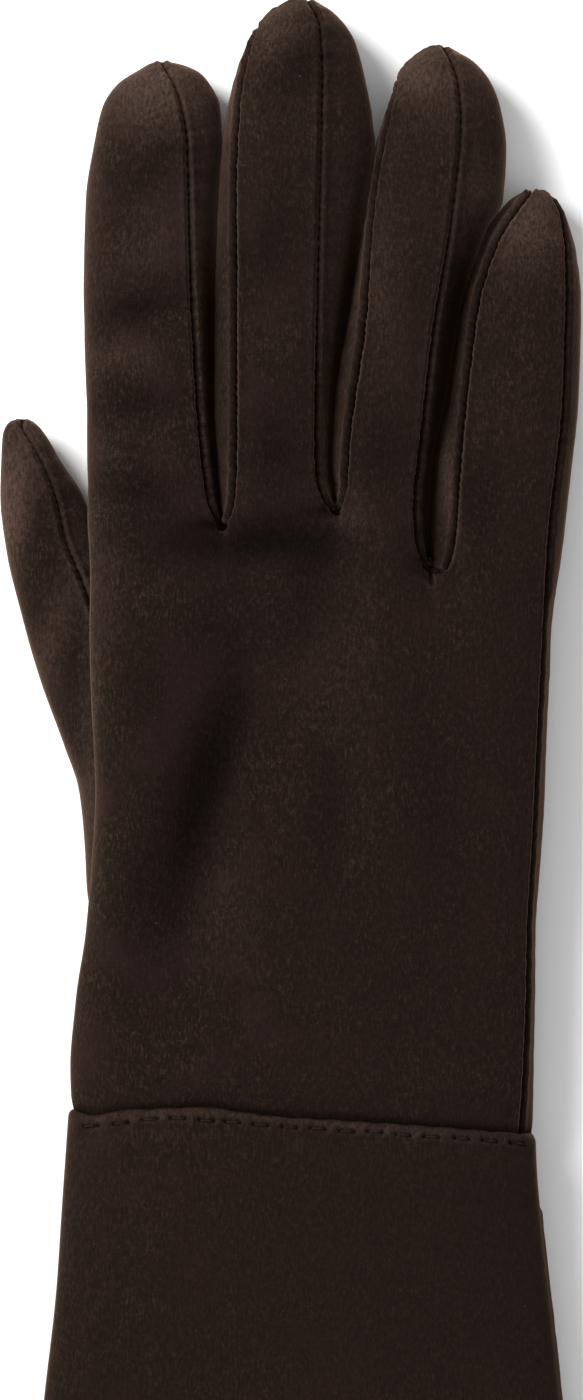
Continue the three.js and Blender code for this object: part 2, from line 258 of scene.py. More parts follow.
@dataclass
class Curve:
    """A smooth curve through rows of values that never swings past them."""

    places: np.ndarray
    values: np.ndarray
    slopes: np.ndarray = field(init=False)

    def __post_init__(self) -> None:
        """Works out the slope at each row as a weighted mean of its two neighbours' slopes."""
        step = np.diff(self.places)[:, None]
        rise = np.diff(self.values, axis=0) / step
        near, far = 2 * step[1:] + step[:-1], step[1:] + 2 * step[:-1]
        same = rise[:-1] * rise[1:] > 0
        before, after = (np.where(same, part, 1.0) for part in (rise[:-1], rise[1:]))
        self.slopes = np.zeros_like(self.values)
        self.slopes[1:-1] = np.where(same, (near + far) / (near / before + far / after), 0)
        self.slopes[0], self.slopes[-1] = rise[0], rise[-1]

    def at(self, place: Share) -> np.ndarray:
        """Reads the curve.

        Args:
            place: the places to read it at.

        Returns:
            One row of values for each place.
        """
        place = np.asarray(place, float)
        row = np.clip(np.searchsorted(self.places, place) - 1, 0, len(self.places) - 2)
        step = self.places[row + 1] - self.places[row]
        share = np.clip((place - self.places[row]) / step, 0, 1)[..., None]
        step = step[..., None]
        return ((1 + 2 * share) * (1 - share) ** 2 * self.values[row]
                + share * (1 - share) ** 2 * step * self.slopes[row]
                + share ** 2 * (3 - 2 * share) * self.values[row + 1]
                + share ** 2 * (share - 1) * step * self.slopes[row + 1])


def along_line(rows: Rows, at: Share, across: bool = False) -> Share:
    """Reads a line of points in millimetres.

    Args:
        rows: points (x, y) in order.
        at: places in metres, y values, or x values if across is true.
        across: whether the line is read by x.

    Returns:
        The other coordinate in metres.
    """
    points = np.array(rows, float) * MM
    known, wanted = (points[:, 0], points[:, 1]) if across else (points[:, 1], points[:, 0])
    order = np.argsort(known)
    return Curve(known[order], wanted[order, None]).at(np.clip(at, known.min(), known.max()))[..., 0]


class Sections:
    """The sections of a tube, read by a place that advances evenly along its outline."""

    LENGTH_COLUMNS = 7
    STEP_WEIGHTS = [1, .7, .7, .5, .5]  # how much y, left, right, under and top count in a step
    READINGS = 2000

    def __init__(self, rows: Rows) -> None:
        """Reads the table.

        Args:
            rows: sections in millimetres, with shares after the seventh column.
        """
        self.rows = np.array([[*row, *FILLING[len(row):]] for row in rows], float)
        self.rows[:, :self.LENGTH_COLUMNS] *= MM
        changes = np.diff(self.rows[:, :len(self.STEP_WEIGHTS)], axis=0)
        self.places = running(np.linalg.norm(changes * self.STEP_WEIGHTS, axis=1))
        self.curve = Curve(self.places, self.rows)

    def places_of(self, y: Share) -> Share:
        """The places whose sections lie at y.

        Args:
            y: in metres.

        Returns:
            A place for each y.
        """
        fine = np.linspace(0, self.places[-1], self.READINGS)
        ys = self.curve.at(fine)[:, 0]
        order = 1 if ys[-1] > ys[0] else -1
        return np.interp(order * np.asarray(y), order * ys, fine)

    def at_y(self, y: np.ndarray) -> np.ndarray:
        """The sections at several y."""
        return self.curve.at(self.places_of(y))

    def towards_tip(self, y: float, count: int) -> np.ndarray:
        """Evenly spaced sections from y to the last row, one more than the count."""
        return self.curve.at(np.linspace(self.places_of(y), self.places[-1], count + 1))


# The turns at which a loop is drawn, from the outline on the little-finger side, once and a half round.
# They are closer at the outline, where a section bends most.
QUARTER = np.linspace(0, 1, 60) ** 1.6 * math.pi / 2
HALF_TURN = np.concatenate([QUARTER, math.pi - QUARTER[-2::-1]])
TURNS = np.concatenate([HALF_TURN, math.pi + HALF_TURN[1:], 2 * math.pi + HALF_TURN[1:]])
LEFT_AT = len(HALF_TURN) - 1
RIGHT_AT = 2 * LEFT_AT


class Loop:
    """The line round one section: over the back to the thumb side, under the palm and over the back again."""

    NARROWEST = 1e-7

    def __init__(self, section: np.ndarray, roundness: float, inset: float = 0) -> None:
        """Draws the loop.

        Args:
            section: left, right, under, top, lift and foot, in metres.
            roundness: exponent of its rounded rectangle, where 2 is an ellipse.
            inset: how far it is drawn in all round.
        """
        left, right, under, top, lift, foot = section
        self.middle, self.half = (left + right) / 2, max((right - left) / 2 - inset, self.NARROWEST)
        cosine, sine = np.cos(TURNS), np.sin(TURNS)
        sine[[0, LEFT_AT, RIGHT_AT, -1]] = 0
        across, up = signed_power(cosine, 2 / roundness), signed_power(sine, 2 / roundness)
        up = np.maximum(-1, np.where(sine < 0, up * FLAT_SHARE, up))
        self.x = self.middle + self.half * across
        rise = lift * smoothstep(foot - self.x, 0, LIFT_SPAN)
        low, high = under + rise + inset, top + rise * BACK_SHARE - inset
        self.z = (low + high) / 2 + (high - low) / 2 * up
        self.way = running(np.hypot(np.diff(self.x), np.diff(self.z)))
        self.left, self.right = self.way[LEFT_AT], self.way[RIGHT_AT]

    def over(self, x: float) -> float:
        """The way along the loop to x on the back."""
        return float(np.interp(-x, -self.x[:LEFT_AT + 1], self.way[:LEFT_AT + 1]))

    def under(self, x: float) -> float:
        """The way along the loop to x on the palm."""
        return float(np.interp(x, self.x[LEFT_AT:RIGHT_AT + 1], self.way[LEFT_AT:RIGHT_AT + 1]))

    def points(self, start: float, end: float, shares: np.ndarray) -> np.ndarray:
        """Points (x, z) between two ways along the loop, at shares from 0 to 1."""
        way = start + (end - start) * shares
        return np.stack([np.interp(way, self.way, self.x), np.interp(way, self.way, self.z)], axis=1)


def spread(width: float, count: int, start: float, end: float) -> np.ndarray:
    """Places columns across a strip, crowded where it is sewn.

    Args:
        width: of the strip.
        count: the number of steps.
        start: how crowded they are at the first edge, from 0 to 1.
        end: the same at the last edge.

    Returns:
        count + 1 shares from 0 to 1.
    """
    fine = np.linspace(0, 1, 240)
    reach = min(CROWD_REACH, width * .12 + 1e-9)
    crowd = CROWD * (start * np.exp(-fine * width / reach) + end * np.exp(-(1 - fine) * width / reach))
    weight = 1 + crowd * min(1, width / (6 * MM))
    total = running((weight[1:] + weight[:-1]) / 2)
    return np.interp(np.linspace(0, total[-1], count + 1), total, fine)


@dataclass
class Seams:
    """Lines where leather is sewn, which roll its edges in, pucker it at each stitch and carry painted shade
    along them.
    """

    roll: float = 1.1 * MM
    roll_share: float = .3  # of the narrowest strip beside it, at most
    pitch: float = 1.75 * MM  # from stitch to stitch
    slow_pitch: float = 5.5 * MM  # from one gathered place to the next
    knot: float = 4 * MM  # the stitching changes from one such length to the next
    pucker: float = .34 * MM
    pucker_reach: float = 1.1 * MM
    gather: float = .15 * MM
    gather_reach: float = 3.2 * MM
    puff: float = .38 * MM
    puff_place: float = .95 * MM
    puff_reach: float = .5 * MM
    # Painted shade along each seam: its width, how much narrower it is where the leather hardly rolls, how
    # dark it is, and how much darker at a stitch
    groove_shade: float = .32 * MM
    groove_least: float = .35  # its width where the leather hardly rolls, against the full one
    groove_dark: float = .35
    stitch_dark: float = .5  # how much darker the painted shade in a seam is at a stitch
    step: float = .15 * MM
    seed: int = SEED
    lines: list = field(default_factory=list)

    def add(self, line: np.ndarray, widths: np.ndarray, share: float = 1) -> None:
        """Adds a seam.

        Args:
            line: its points in order.
            widths: width of the narrowest strip beside each point.
            share: how deep it is, against the others.
        """
        way = running(np.linalg.norm(np.diff(line, axis=0), axis=1))
        fine = np.linspace(0, way[-1], max(8, int(way[-1] / self.step)))
        points = np.stack([np.interp(fine, way, line[:, i]) for i in range(3)], axis=1)
        roll = np.minimum(self.roll * share, self.roll_share * np.interp(fine, way, widths))
        rng = np.random.default_rng(self.seed + len(self.lines))
        knots = np.arange(0, way[-1] + 3 * self.knot, self.knot)
        stretch, strength, slow = (
            np.interp(fine, knots, rng.uniform(low, high, len(knots)))
            for low, high in ((.75, 1.3), (.45, 1.25), (.6, 1.5))
        )
        phase = np.cumsum(stretch) * (fine[1] / self.pitch) * 2 * math.pi
        slow_phase = np.cumsum(slow) * (fine[1] / self.slow_pitch) * 2 * math.pi
        tick = strength * (.5 + .5 * np.cos(phase)) ** 1.5
        wave = strength * np.sin(slow_phase)
        self.lines.append(np.column_stack([points, roll, tick * share, wave * share]))

    def press(self, points: np.ndarray) -> tuple[np.ndarray, np.ndarray]:
        """How far the seams draw the leather in, and the painted shade along them.

        Args:
            points: places on the leather.

        Returns:
            The depth at each point, and the painted shade of the seam there, from 0 to 1.
        """
        data = np.concatenate(self.lines)
        tree = kdtree.KDTree(len(data))
        for i, point in enumerate(data[:, :3]):
            tree.insert(point, i)
        tree.balance()
        found = [tree.find(point)[1:] for point in points]
        nearest, distance = (np.array(column) for column in zip(*found))
        roll, tick, wave = data[nearest, 3:].T
        inside = np.clip(roll - distance, 0, None)
        depth = roll - np.sqrt(np.clip(roll ** 2 - inside ** 2, 0, None))
        small = np.clip(roll / self.roll, 0, 1)
        depth += small * self.pucker * tick * np.exp(-distance / self.pucker_reach)
        depth += small * self.gather * wave * np.exp(-distance / self.gather_reach)
        depth -= small * self.puff * bell(distance - self.puff_place, self.puff_reach)
        width = self.groove_shade * (self.groove_least + (1 - self.groove_least) * small)
        return depth, bell(distance, width) * (self.groove_dark + self.stitch_dark * np.clip(tick, 0, 1))


class Skin:
    """A leather piece: grids of points for its outer side, closed by a coarser inner side."""

    def __init__(self, name: str) -> None:
        """Starts an empty piece.

        Args:
            name: of its Blender object.
        """
        self.name = name
        self.blocks: list[np.ndarray] = []
        self.grids: list[np.ndarray] = []
        self.rims: list[tuple[np.ndarray, Way]] = []
        self.count = 0

    def add(self, block: np.ndarray) -> np.ndarray:
        """Adds a grid of points.

        Args:
            block: rows by columns by 3, rows towards the tip, columns to the thumb side over the back.

        Returns:
            The index of each of its points.
        """
        rows, columns = block.shape[:2]
        grid = np.arange(self.count, self.count + rows * columns).reshape(rows, columns)
        self.blocks.append(block.reshape(-1, 3))
        self.count += rows * columns
        self.grids.append(grid)
        return grid

    def points(self) -> np.ndarray:
        """All points so far."""
        return np.concatenate(self.blocks)

    def normals(self, points: np.ndarray) -> np.ndarray:
        """Averages the directions of the faces round each point.

        Args:
            points: the places of all points.

        Returns:
            The outward direction at each.
        """
        total = np.zeros_like(points)
        for grid in self.grids:
            a, b, c, d = squares(grid).T
            face = np.cross(points[c] - points[a], points[d] - points[b])
            for corner in (a, b, c, d):
                np.add.at(total, corner, face)
        return total / np.maximum(np.linalg.norm(total, axis=1, keepdims=True), 1e-12)

    def close(self, outer: np.ndarray, inner: np.ndarray, groove_shade: np.ndarray) -> bpy.types.Object:
        """Makes the closed mesh.

        Args:
            outer: final place of each point on the outer side.
            inner: the place under each point on the inner side.
            groove_shade: painted shade of each point, kept as an attribute.

        Returns:
            The new object.
        """
        step = INSIDE_STEP
        inside_of = np.full(self.count, -1)
        coarse = [grid[::step, ::step] for grid in self.grids]
        kept = np.unique(np.concatenate([grid.ravel() for grid in coarse]))
        inside_of[kept] = self.count + np.arange(len(kept))
        faces = [face for grid in self.grids for face in squares(grid).tolist()]
        faces += [face for grid in coarse for face in squares(inside_of[grid])[:, [0, 3, 2, 1]].tolist()]
        for chain, way in self.rims:
            for start in range(0, len(chain) - step, step):
                part = chain[start:start + step + 1]
                low, high = inside_of[part[[0, -1]]].tolist()
                if way is Way.ALONG:
                    faces.append([*part.tolist(), high, low])
                else:
                    faces.append([*part[::-1].tolist(), low, high])
        return mesh_object(self.name, np.concatenate([outer, inner[kept]]), faces,
                           np.concatenate([groove_shade, np.zeros(len(kept))]))


def only(piece: bpy.types.Object) -> None:
    """Selects one object and nothing else.

    Args:
        piece: the object.
    """
    bpy.ops.object.select_all(action="DESELECT")
    piece.select_set(True)
    bpy.context.view_layer.objects.active = piece


def mesh_object(name: str, points: np.ndarray, faces: list, groove_shade: np.ndarray) -> bpy.types.Object:
    """Makes an object from points and faces, joined where points coincide.

    Args:
        name: of the object.
        points: one row each.
        faces: lists of point indices.
        groove_shade: painted shade of each point, kept as an attribute beside those of the spot tables.

    Returns:
        The object, at the origin.
    """
    used = np.unique(np.fromiter((i for face in faces for i in face), int))
    number_of = np.full(len(points), -1)
    number_of[used] = np.arange(len(used))
    numbers = number_of.tolist()
    mesh = bpy.data.meshes.new(name)
    mesh.from_pydata(points[used].tolist(), [], [[numbers[i] for i in face] for face in faces])
    shades = {"groove_shade": groove_shade, "worn_and_lit": spots(points, WORN_AND_LIT), "hollow_shade": spots(points, HOLLOW_SHADE)}
    for label, values in shades.items():
        attribute = mesh.attributes.new(label, "FLOAT", "POINT")
        attribute.data.foreach_set("value", np.clip(values[used], 0, 1).astype(np.float32))
    piece = bpy.data.objects.new(name, mesh)
    bpy.context.scene.collection.objects.link(piece)
    only(piece)
    bpy.ops.object.mode_set(mode="EDIT")
    bpy.ops.mesh.select_all(action="SELECT")
    bpy.ops.mesh.remove_doubles(threshold=1e-6)
    bpy.ops.mesh.dissolve_degenerate(threshold=1e-7)
    bpy.ops.object.mode_set(mode="OBJECT")
    bpy.ops.object.shade_smooth()
    return piece


def spots(points: np.ndarray, rows: Rows) -> np.ndarray:
    """The sum of soft spots on the upper side.

    Args:
        points: places on the leather.
        rows: the spots, as in the tables.

    Returns:
        The sum at each place, in the unit of the last column.
    """
    total = np.zeros(len(points))
    for x, y, along, across, turn, strength in rows:
        angle = math.radians(turn)
        dx, dy = points[:, 0] - x * MM, points[:, 1] - y * MM
        far = (dx * math.sin(angle) + dy * math.cos(angle)) / (along * MM)
        side = (dx * math.cos(angle) - dy * math.sin(angle)) / (across * MM)
        total += strength * np.exp(-far ** 2 - side ** 2)
    return total * smoothstep(points[:, 2], OUTLINE_HEIGHT / 3, OUTLINE_HEIGHT)


def relief(points: np.ndarray) -> np.ndarray:
    """How far the leather sinks or swells at each place: its own waves and the soft hollows on the back.

    Args:
        points: places on the leather.

    Returns:
        The depth, where swelling counts as less than nothing.
    """
    waves = sum(
        height * np.array([noise.noise(place) for place in (points * scale + shift).tolist()])
        for height, scale, shift in WAVES
    )
    return waves * MM + spots(points, HOLLOWS) * MM


def dress(skin: Skin, seams: Seams, still: np.ndarray, waves: Share = 1,
          shade: Share = 0) -> bpy.types.Object:
    """Rolls, puckers and dents a piece, paints shade along its seams, just above the cuff's fold and as given
    deep in a gap, and closes it.

    Args:
        skin: the piece, with its grids and rims.
        seams: what presses it.
        still: indices of points at tips, which stay where they are.
        waves: share of the leather's own waves.
        shade: painted shade deep in a gap between fingers, from 0 to 1.

    Returns:
        The new object.
    """
    points = skin.points()
    normals = skin.normals(points)
    normals[still] = (0, 1, 0)
    pressed, groove_shade = seams.press(points)
    bent = relief(points) * waves
    pressed[still] = bent[still] = 0
    outer = points - normals * (pressed + bent)[:, None]
    inner = points - normals * (SKIN + bent)[:, None]
    outer[:, 2] = np.maximum(outer[:, 2], 0)
    # Painted shadow on the leather just above the cuff's fold, where it goes under it
    above_fold = points[:, 1] - along_line(CUFF_EDGE, points[:, 0], across=True)
    fold_shadow = FOLD_SHADE * bell(above_fold, FOLD_REACH)
    return skin.close(outer, inner, np.maximum(np.maximum(groove_shade, fold_shadow), shade))


def branch(seam: list, up: bool) -> list:
    """One half of a fork's seam.

    Args:
        seam: the whole seam, down one finger and up the next.
        up: whether the second half is wanted.

    Returns:
        The points of that half, with the crotch.
    """
    low = min(range(len(seam)), key=lambda i: seam[i][1])
    return seam[low:] if up else seam[:low + 1]


@dataclass(frozen=True)
class Finger:
    """One finger of the hand: its sections and the seams at its sides, of which one may be missing."""

    rows: list
    first: float  # the crotch or outer edge on its thumb side, in millimetres
    last: float  # and on its other side
    left_seam: list | None
    right_seam: list


FINGERS = [
    Finger(INDEX_ROWS, -40, -15.1, None, branch(INDEX_MIDDLE_SEAM, False)),
    Finger(MIDDLE_ROWS, -15.1, 6.6, branch(INDEX_MIDDLE_SEAM, True), branch(MIDDLE_RING_SEAM, False)),
    Finger(RING_ROWS, 6.6, 24.8, branch(MIDDLE_RING_SEAM, True), branch(RING_LITTLE_SEAM, False)),
    Finger(LITTLE_ROWS, 24.8, 47, branch(RING_LITTLE_SEAM, True), OUTER_SEAM),
]


@dataclass(frozen=True)
class Gap:
    """The gap between two fingers, and the painted shade on the strip deep in it."""

    opens: float  # the height at which no dark is left, in millimetres
    away: float  # share of the strip where the dark starts, on the side that faces away from the light
    towards: float  # and on the side that faces it
    swell: float  # how much more the strip swells near the crotch, in millimetres


GAPS = [Gap(182, .2, .3, 0), Gap(190, .35, .34, .28), Gap(186, .14, .36, .16)]


@dataclass
class Row:
    """How one row of points lies: a level, the arch of the crotches and the slant of the wrist."""

    level: float
    arch: float  # how much it follows the arch
    mean: float = 0  # the height of the arch that its level already holds
    slant: float = 0  # how much it follows the slant


@dataclass
class Hand:
    """The trank, folded round the hand and cut into fingers, and the three fork strips between them."""

    palm_rows: int = 150
    finger_rows: int = 240
    back_columns: int = 27
    palm_columns: int = 18
    fork_columns: int = 30
    finger_roundness: float = 2.5
    hand_roundness: float = 3.0
    blend_below: float = 18 * MM  # a finger's own form starts to show so far below its crotch
    blend_above: float = 12 * MM  # and is complete so far above it
    widening: float = .3  # how fast that form gets wider below the crotch
    arch_fade: float = 22 * MM  # rows no longer follow the arch so far above it
    crowd_near: float = 2 * MM  # columns crowd at the seams from so far below the crotch
    crowd_far: float = 30 * MM  # and not at all so far below it
    softenings: int = 14  # rounds of softening for the valleys below the crotches
    parting: float = .01 * MM  # half the distance kept between back and palm, so that their edges stay apart
    fork_end: float = 1.6 * MM  # a fork strip ends where it is this narrow
    least_fork_rows: int = 30
    crotch_bulge: float = 1.3 * MM
    closeness: float = .21 * MM  # how far a fork strip swells into the gap
    swell_place: float = 4 * MM  # where the extra swelling is most, above the crotch
    swell_reach: float = 6.5 * MM
    calm: float = .95  # how much of the leather's waves a fork strip lacks in its middle
    outer_roll: float = .8  # how deep the outer seam is, against those of the fingers
    gap_shade: float = .85  # painted shade: how dark a strip is painted deep between two fingers
    away_full: float = .42  # share of the strip where that is reached, away from the light
    towards_full: float = .47  # and towards it
    gap_fade: float = 24  # height over which that dark fades out to where the gap opens, in millimetres

    def __post_init__(self) -> None:
        """Reads the tables and draws every row of the trank."""
        self.hand = Sections(HAND_ROWS)
        self.arch = Curve(np.array(CROTCHES)[:, 0] * MM, np.array(CROTCHES)[:, 1:] * MM)
        self.seams = Seams()
        self.strips: list[dict[Side, np.ndarray]] = []
        self.turns: list[list[tuple[Loop, tuple]]] = []
        for finger in FINGERS:
            self.draw(finger)
        self.join_rows()

    def crotch_height(self, x: Share) -> Share:
        """The arch of the crotches at x."""
        return self.arch.at(np.clip(x, CROTCHES[0][0] * MM, CROTCHES[-1][0] * MM))[..., 0]

    def mean_height(self, finger: Finger) -> float:
        """The mean of the arch at the two sides of a finger."""
        return float(self.crotch_height(np.array([finger.first, finger.last]) * MM).mean())

    def place_in(self, row: Row, x: Share, across: Share = 0) -> Share:
        """The y of a row at x, where across runs from -1 to 1 over the hand."""
        return row.level - row.slant * WRIST_SLANT * across + row.arch * (self.crotch_height(x) - row.mean)

    def row_sections(self, finger: Finger) -> tuple[np.ndarray, np.ndarray, np.ndarray]:
        """Every row's sections, of the hand and of one finger.

        Args:
            finger: the finger.

        Returns:
            The hand's sections, the finger's sections, and each row's distance above the crotch.
        """
        hand_y = np.linspace(self.hand.rows[0, 0], CROTCH_LEVEL, self.palm_rows + 1)
        mean = self.mean_height(finger)
        start = CROTCH_LEVEL + mean
        sections = Sections(finger.rows)
        above = sections.towards_tip(start, self.finger_rows)
        own = np.concatenate([sections.at_y(hand_y[:-1] + mean), above])
        hand = self.hand.at_y(np.concatenate([hand_y, np.full(self.finger_rows, CROTCH_LEVEL)]))
        rest = self.palm_rows + 1
        hand[rest:, 0] = above[1:, 0]
        if finger is FINGERS[0]:
            hand[rest:, [1, 5, 6]] = above[1:, [1, 5, 6]]
        if finger is FINGERS[-1]:
            hand[rest:, 2] = above[1:, 2]
        return hand, own, np.concatenate([hand_y[:-1] - CROTCH_LEVEL, above[:, 0] - start])

    def ends(self, finger: Finger, form: Loop, left_x: float, right_x: float) -> tuple:
        """Where a finger's strips start and end on a loop.

        Args:
            finger: the finger.
            form: the loop.
            left_x: the place of its left seam, if it has one.
            right_x: the place of its right seam.

        Returns:
            The ways along the loop to the start and end of the back strip, then of the palm strip.
        """
        over_left = form.over(left_x) if finger.left_seam else form.left
        under_left = form.under(left_x) if finger.left_seam else form.left
        under_right = form.right + form.over(right_x) if finger is FINGERS[-1] else form.under(right_x)
        return form.over(right_x), over_left, under_left, under_right

    def draw(self, finger: Finger) -> None:
        """Draws the back and palm strips of one finger with the part of the hand below it.

        Args:
            finger: the finger.
        """
        hand, own, distance = self.row_sections(finger)
        blend = smoothstep(distance, -self.blend_below, self.blend_above)
        crowding = 1 - smoothstep(-distance, self.crowd_near, self.crowd_far)
        mean = self.mean_height(finger)
        outer = finger is FINGERS[-1]
        strips = {side: [] for side in Side}
        turns = []
        for number, share in enumerate(blend):
            above = number > self.palm_rows
            if above:
                row = Row(own[number, 0], 1 - smoothstep(distance[number], 0, self.arch_fade), mean)
            else:
                row = Row(hand[number, 0], hand[number, 8], 0, hand[number, 7])
            grown = own[number, 1:7].copy()
            if distance[number] < 0:
                reach = -distance[number] * self.widening
                grown[0] -= 0 if finger is FINGERS[0] else reach
                grown[1] += 0 if outer else reach
            loop = Loop(grown, self.finger_roundness)
            wide = Loop(hand[number, 1:7], self.hand_roundness)
            left_x, right_x = finger.first * MM, finger.last * MM
            if above or outer:
                right_x = along_line(finger.right_seam, self.place_in(row, right_x))
            if above and finger.left_seam:
                left_x = along_line(finger.left_seam, self.place_in(row, left_x))
            wide_ends = self.ends(finger, wide, left_x, right_x)
            own_ends = self.ends(finger, loop, left_x, right_x)
            left_crowd = crowding[number] if finger.left_seam else 0
            right_crowd = 1 if outer else crowding[number]
            for side, columns, a, crowd in (
                (Side.BACK, self.back_columns, 0, (right_crowd, left_crowd)),
                (Side.PALM, self.palm_columns, 2, (left_crowd, right_crowd)),
            ):
                measured = own_ends if above else wide_ends
                shares = spread(measured[a + 1] - measured[a], columns, *crowd)
                flat = ((1 - share) * wide.points(wide_ends[a], wide_ends[a + 1], shares)
                        + share * loop.points(own_ends[a], own_ends[a + 1], shares))
                across = (flat[:, 0] - wide.middle) / wide.half
                strips[side].append(laid(flat, self.place_in(row, flat[:, 0], across)))
            turns.append((loop, own_ends))
        back, palm = (np.array(strips[side]) for side in Side)
        back[-1] = palm[-1] = (back[-1].mean(axis=0) + palm[-1].mean(axis=0)) / 2
        if finger.left_seam:
            back[self.palm_rows + 1:, :, 2] += self.parting
            palm[self.palm_rows + 1:, :, 2] -= self.parting
        self.strips.append({Side.BACK: back, Side.PALM: palm})
        self.turns.append(turns)

    def join_rows(self) -> None:
        """Makes neighbouring strips meet below the crotches and softens the valleys under these."""
        rows = self.palm_rows + 1
        for side in Side:
            strips = [pair[side] for pair in self.strips]
            ordered = strips if side is Side.PALM else strips[::-1]
            for one, other in zip(ordered, ordered[1:]):
                one[:rows, -1] = other[:rows, 0] = (one[:rows, -1] + other[:rows, 0]) / 2
            whole = np.concatenate([ordered[0][:rows]] + [strip[:rows, 1:] for strip in ordered[1:]], axis=1)
            for step in range(self.softenings):
                height = whole[:self.palm_rows - step // 2, :, 2]
                height[:, 1:-1] = (height[:, :-2] + 2 * height[:, 1:-1] + height[:, 2:]) / 4
            column = 0
            for strip in ordered:
                strip[:rows] = whole[:, column:column + strip.shape[1]]
                column += strip.shape[1] - 1

    def edge(self, number: int, side: Side, left: bool) -> np.ndarray:
        """One edge of a finger's strip, from the wrist to the tip."""
        return self.strips[number][side][:, -1 if left == (side is Side.BACK) else 0]

    def mark_seams(self) -> None:
        """Adds all the seams of the hand, with the width of the strip beside each point."""
        for number, finger in enumerate(FINGERS):
            widths = np.array([abs(ends[1] - ends[0]) for _, ends in self.turns[number]])
            for left in (True, False):
                if left and not finger.left_seam:
                    continue
                outer = finger is FINGERS[-1] and not left
                first = 0 if outer else self.palm_rows
                share = self.outer_roll if outer else 1
                for side in (Side.BACK,) if outer else Side:
                    self.seams.add(self.edge(number, side, left)[first:], widths[first:], share)

    def fork_half(self, number: int, left: bool) -> np.ndarray:
        """Half of a fork strip, on one finger's side.

        Args:
            number: of the finger.
            left: whether it is the finger's thumb side.

        Returns:
            Rows from the crotch to the strip's end, columns from the back seam to the palm seam.
        """
        rows = []
        top, bottom = (self.edge(number, side, left) for side in Side)
        gap = GAPS[number - 1 if left else number]
        last = self.palm_rows + self.finger_rows
        for row in range(self.palm_rows + 1, last):
            loop, ends = self.turns[number][row]
            start, end = (ends[1], ends[2]) if left else (loop.right + ends[0], ends[3])
            narrow = abs(end - start) < self.fork_end and len(rows) > self.least_fork_rows
            if narrow and (len(rows) + 1) % INSIDE_STEP == 0:
                last = row
                break
            shares = spread(abs(end - start), self.fork_columns, 1, 1)
            y = top[row, 1] + (bottom[row, 1] - top[row, 1]) * shares
            line = laid(loop.points(start, end, shares), y)
            line += (1 - shares)[:, None] * (top[row] - line[0]) + shares[:, None] * (bottom[row] - line[-1])
            above = top[row, 1] - top[self.palm_rows, 1]
            swell = self.closeness + gap.swell * MM * bell(above - self.swell_place, self.swell_reach)
            line[:, 0] += (-1 if left else 1) * swell * np.sin(math.pi * shares) ** 2
            rows.append(line)
        while (len(rows) + 1) % INSIDE_STEP:
            rows.pop()
            last -= 1
        rows.append(np.tile((top[last] + bottom[last]) / 2, (self.fork_columns + 1, 1)))
        return np.array(rows)

    def build_trank(self) -> bpy.types.Object:
        """Builds the trank.

        Returns:
            The new object.
        """
        skin = Skin("suede_trank")
        backs = [pair[Side.BACK] for pair in self.strips[::-1]]
        palms = [pair[Side.PALM] for pair in self.strips]
        grids = [skin.add(strip) for strip in backs + palms]
        for number in range(1, len(grids)):
            folded = number == len(FINGERS)
            shared = slice(None) if folded else slice(0, self.palm_rows + 1)
            grids[number][shared, 0] = grids[number - 1][shared, -1]
            if not folded:
                skin.rims.append((grids[number - 1][self.palm_rows:, -1], Way.ALONG))
                skin.rims.append((grids[number][self.palm_rows:, 0], Way.AGAINST))
        skin.rims.append((grids[0][:, 0], Way.AGAINST))
        skin.rims.append((grids[-1][:, -1], Way.ALONG))
        skin.rims.extend((grid[0], Way.ALONG) for grid in grids)
        return dress(skin, self.seams, np.concatenate([grid[-1] for grid in grids]))

    def build_fork(self, name: str, number: int) -> bpy.types.Object:
        """Builds the strip between two fingers.

        Args:
            name: of the object.
            number: of the finger on its thumb side.

        Returns:
            The new object.
        """
        first, second = self.fork_half(number, False)[::-1], self.fork_half(number + 1, True)
        top, bottom = (self.edge(number, side, False)[self.palm_rows] for side in Side)
        shares = np.linspace(0, 1, self.fork_columns + 1)
        crotch = top + (bottom - top) * shares[:, None]
        crotch[:, 1] += self.crotch_bulge * np.sin(math.pi * shares)
        skin = Skin(name)
        grid = skin.add(np.concatenate([first, crotch[None], second]))
        skin.rims.append((grid[:, 0], Way.AGAINST))
        skin.rims.append((grid[:, -1], Way.ALONG))
        waves = np.tile(1 - self.calm * np.sin(math.pi * shares), len(grid))
        # Painted shade deep in the gap between the two fingers
        shade = self.gap_painted_shade(GAPS[number], skin.points()[grid[:, 0], 1], len(first))
        return dress(skin, self.seams, np.concatenate([grid[0], grid[-1]]), waves, shade)

    def gap_painted_shade(self, gap: Gap, heights: np.ndarray, turn: int) -> np.ndarray:
        """The painted shade deep in the gap on a fork strip, at each point.

        Args:
            gap: the gap in which it lies.
            heights: the y of each row.
            turn: the row at the crotch, after which it runs up the other finger.

        Returns:
            A value for each point, row by row.
        """
        shares = np.linspace(0, 1, self.fork_columns + 1)
        inward = np.minimum(shares, 1 - shares)
        away = smoothstep(inward, gap.away, self.away_full)
        towards = smoothstep(inward, gap.towards, self.towards_full)
        closed = 1 - smoothstep(heights, (gap.opens - self.gap_fade) * MM, gap.opens * MM)
        first = np.arange(len(heights)) <= turn
        return (self.gap_shade * closed[:, None] * np.where(first[:, None], away, towards)).ravel()


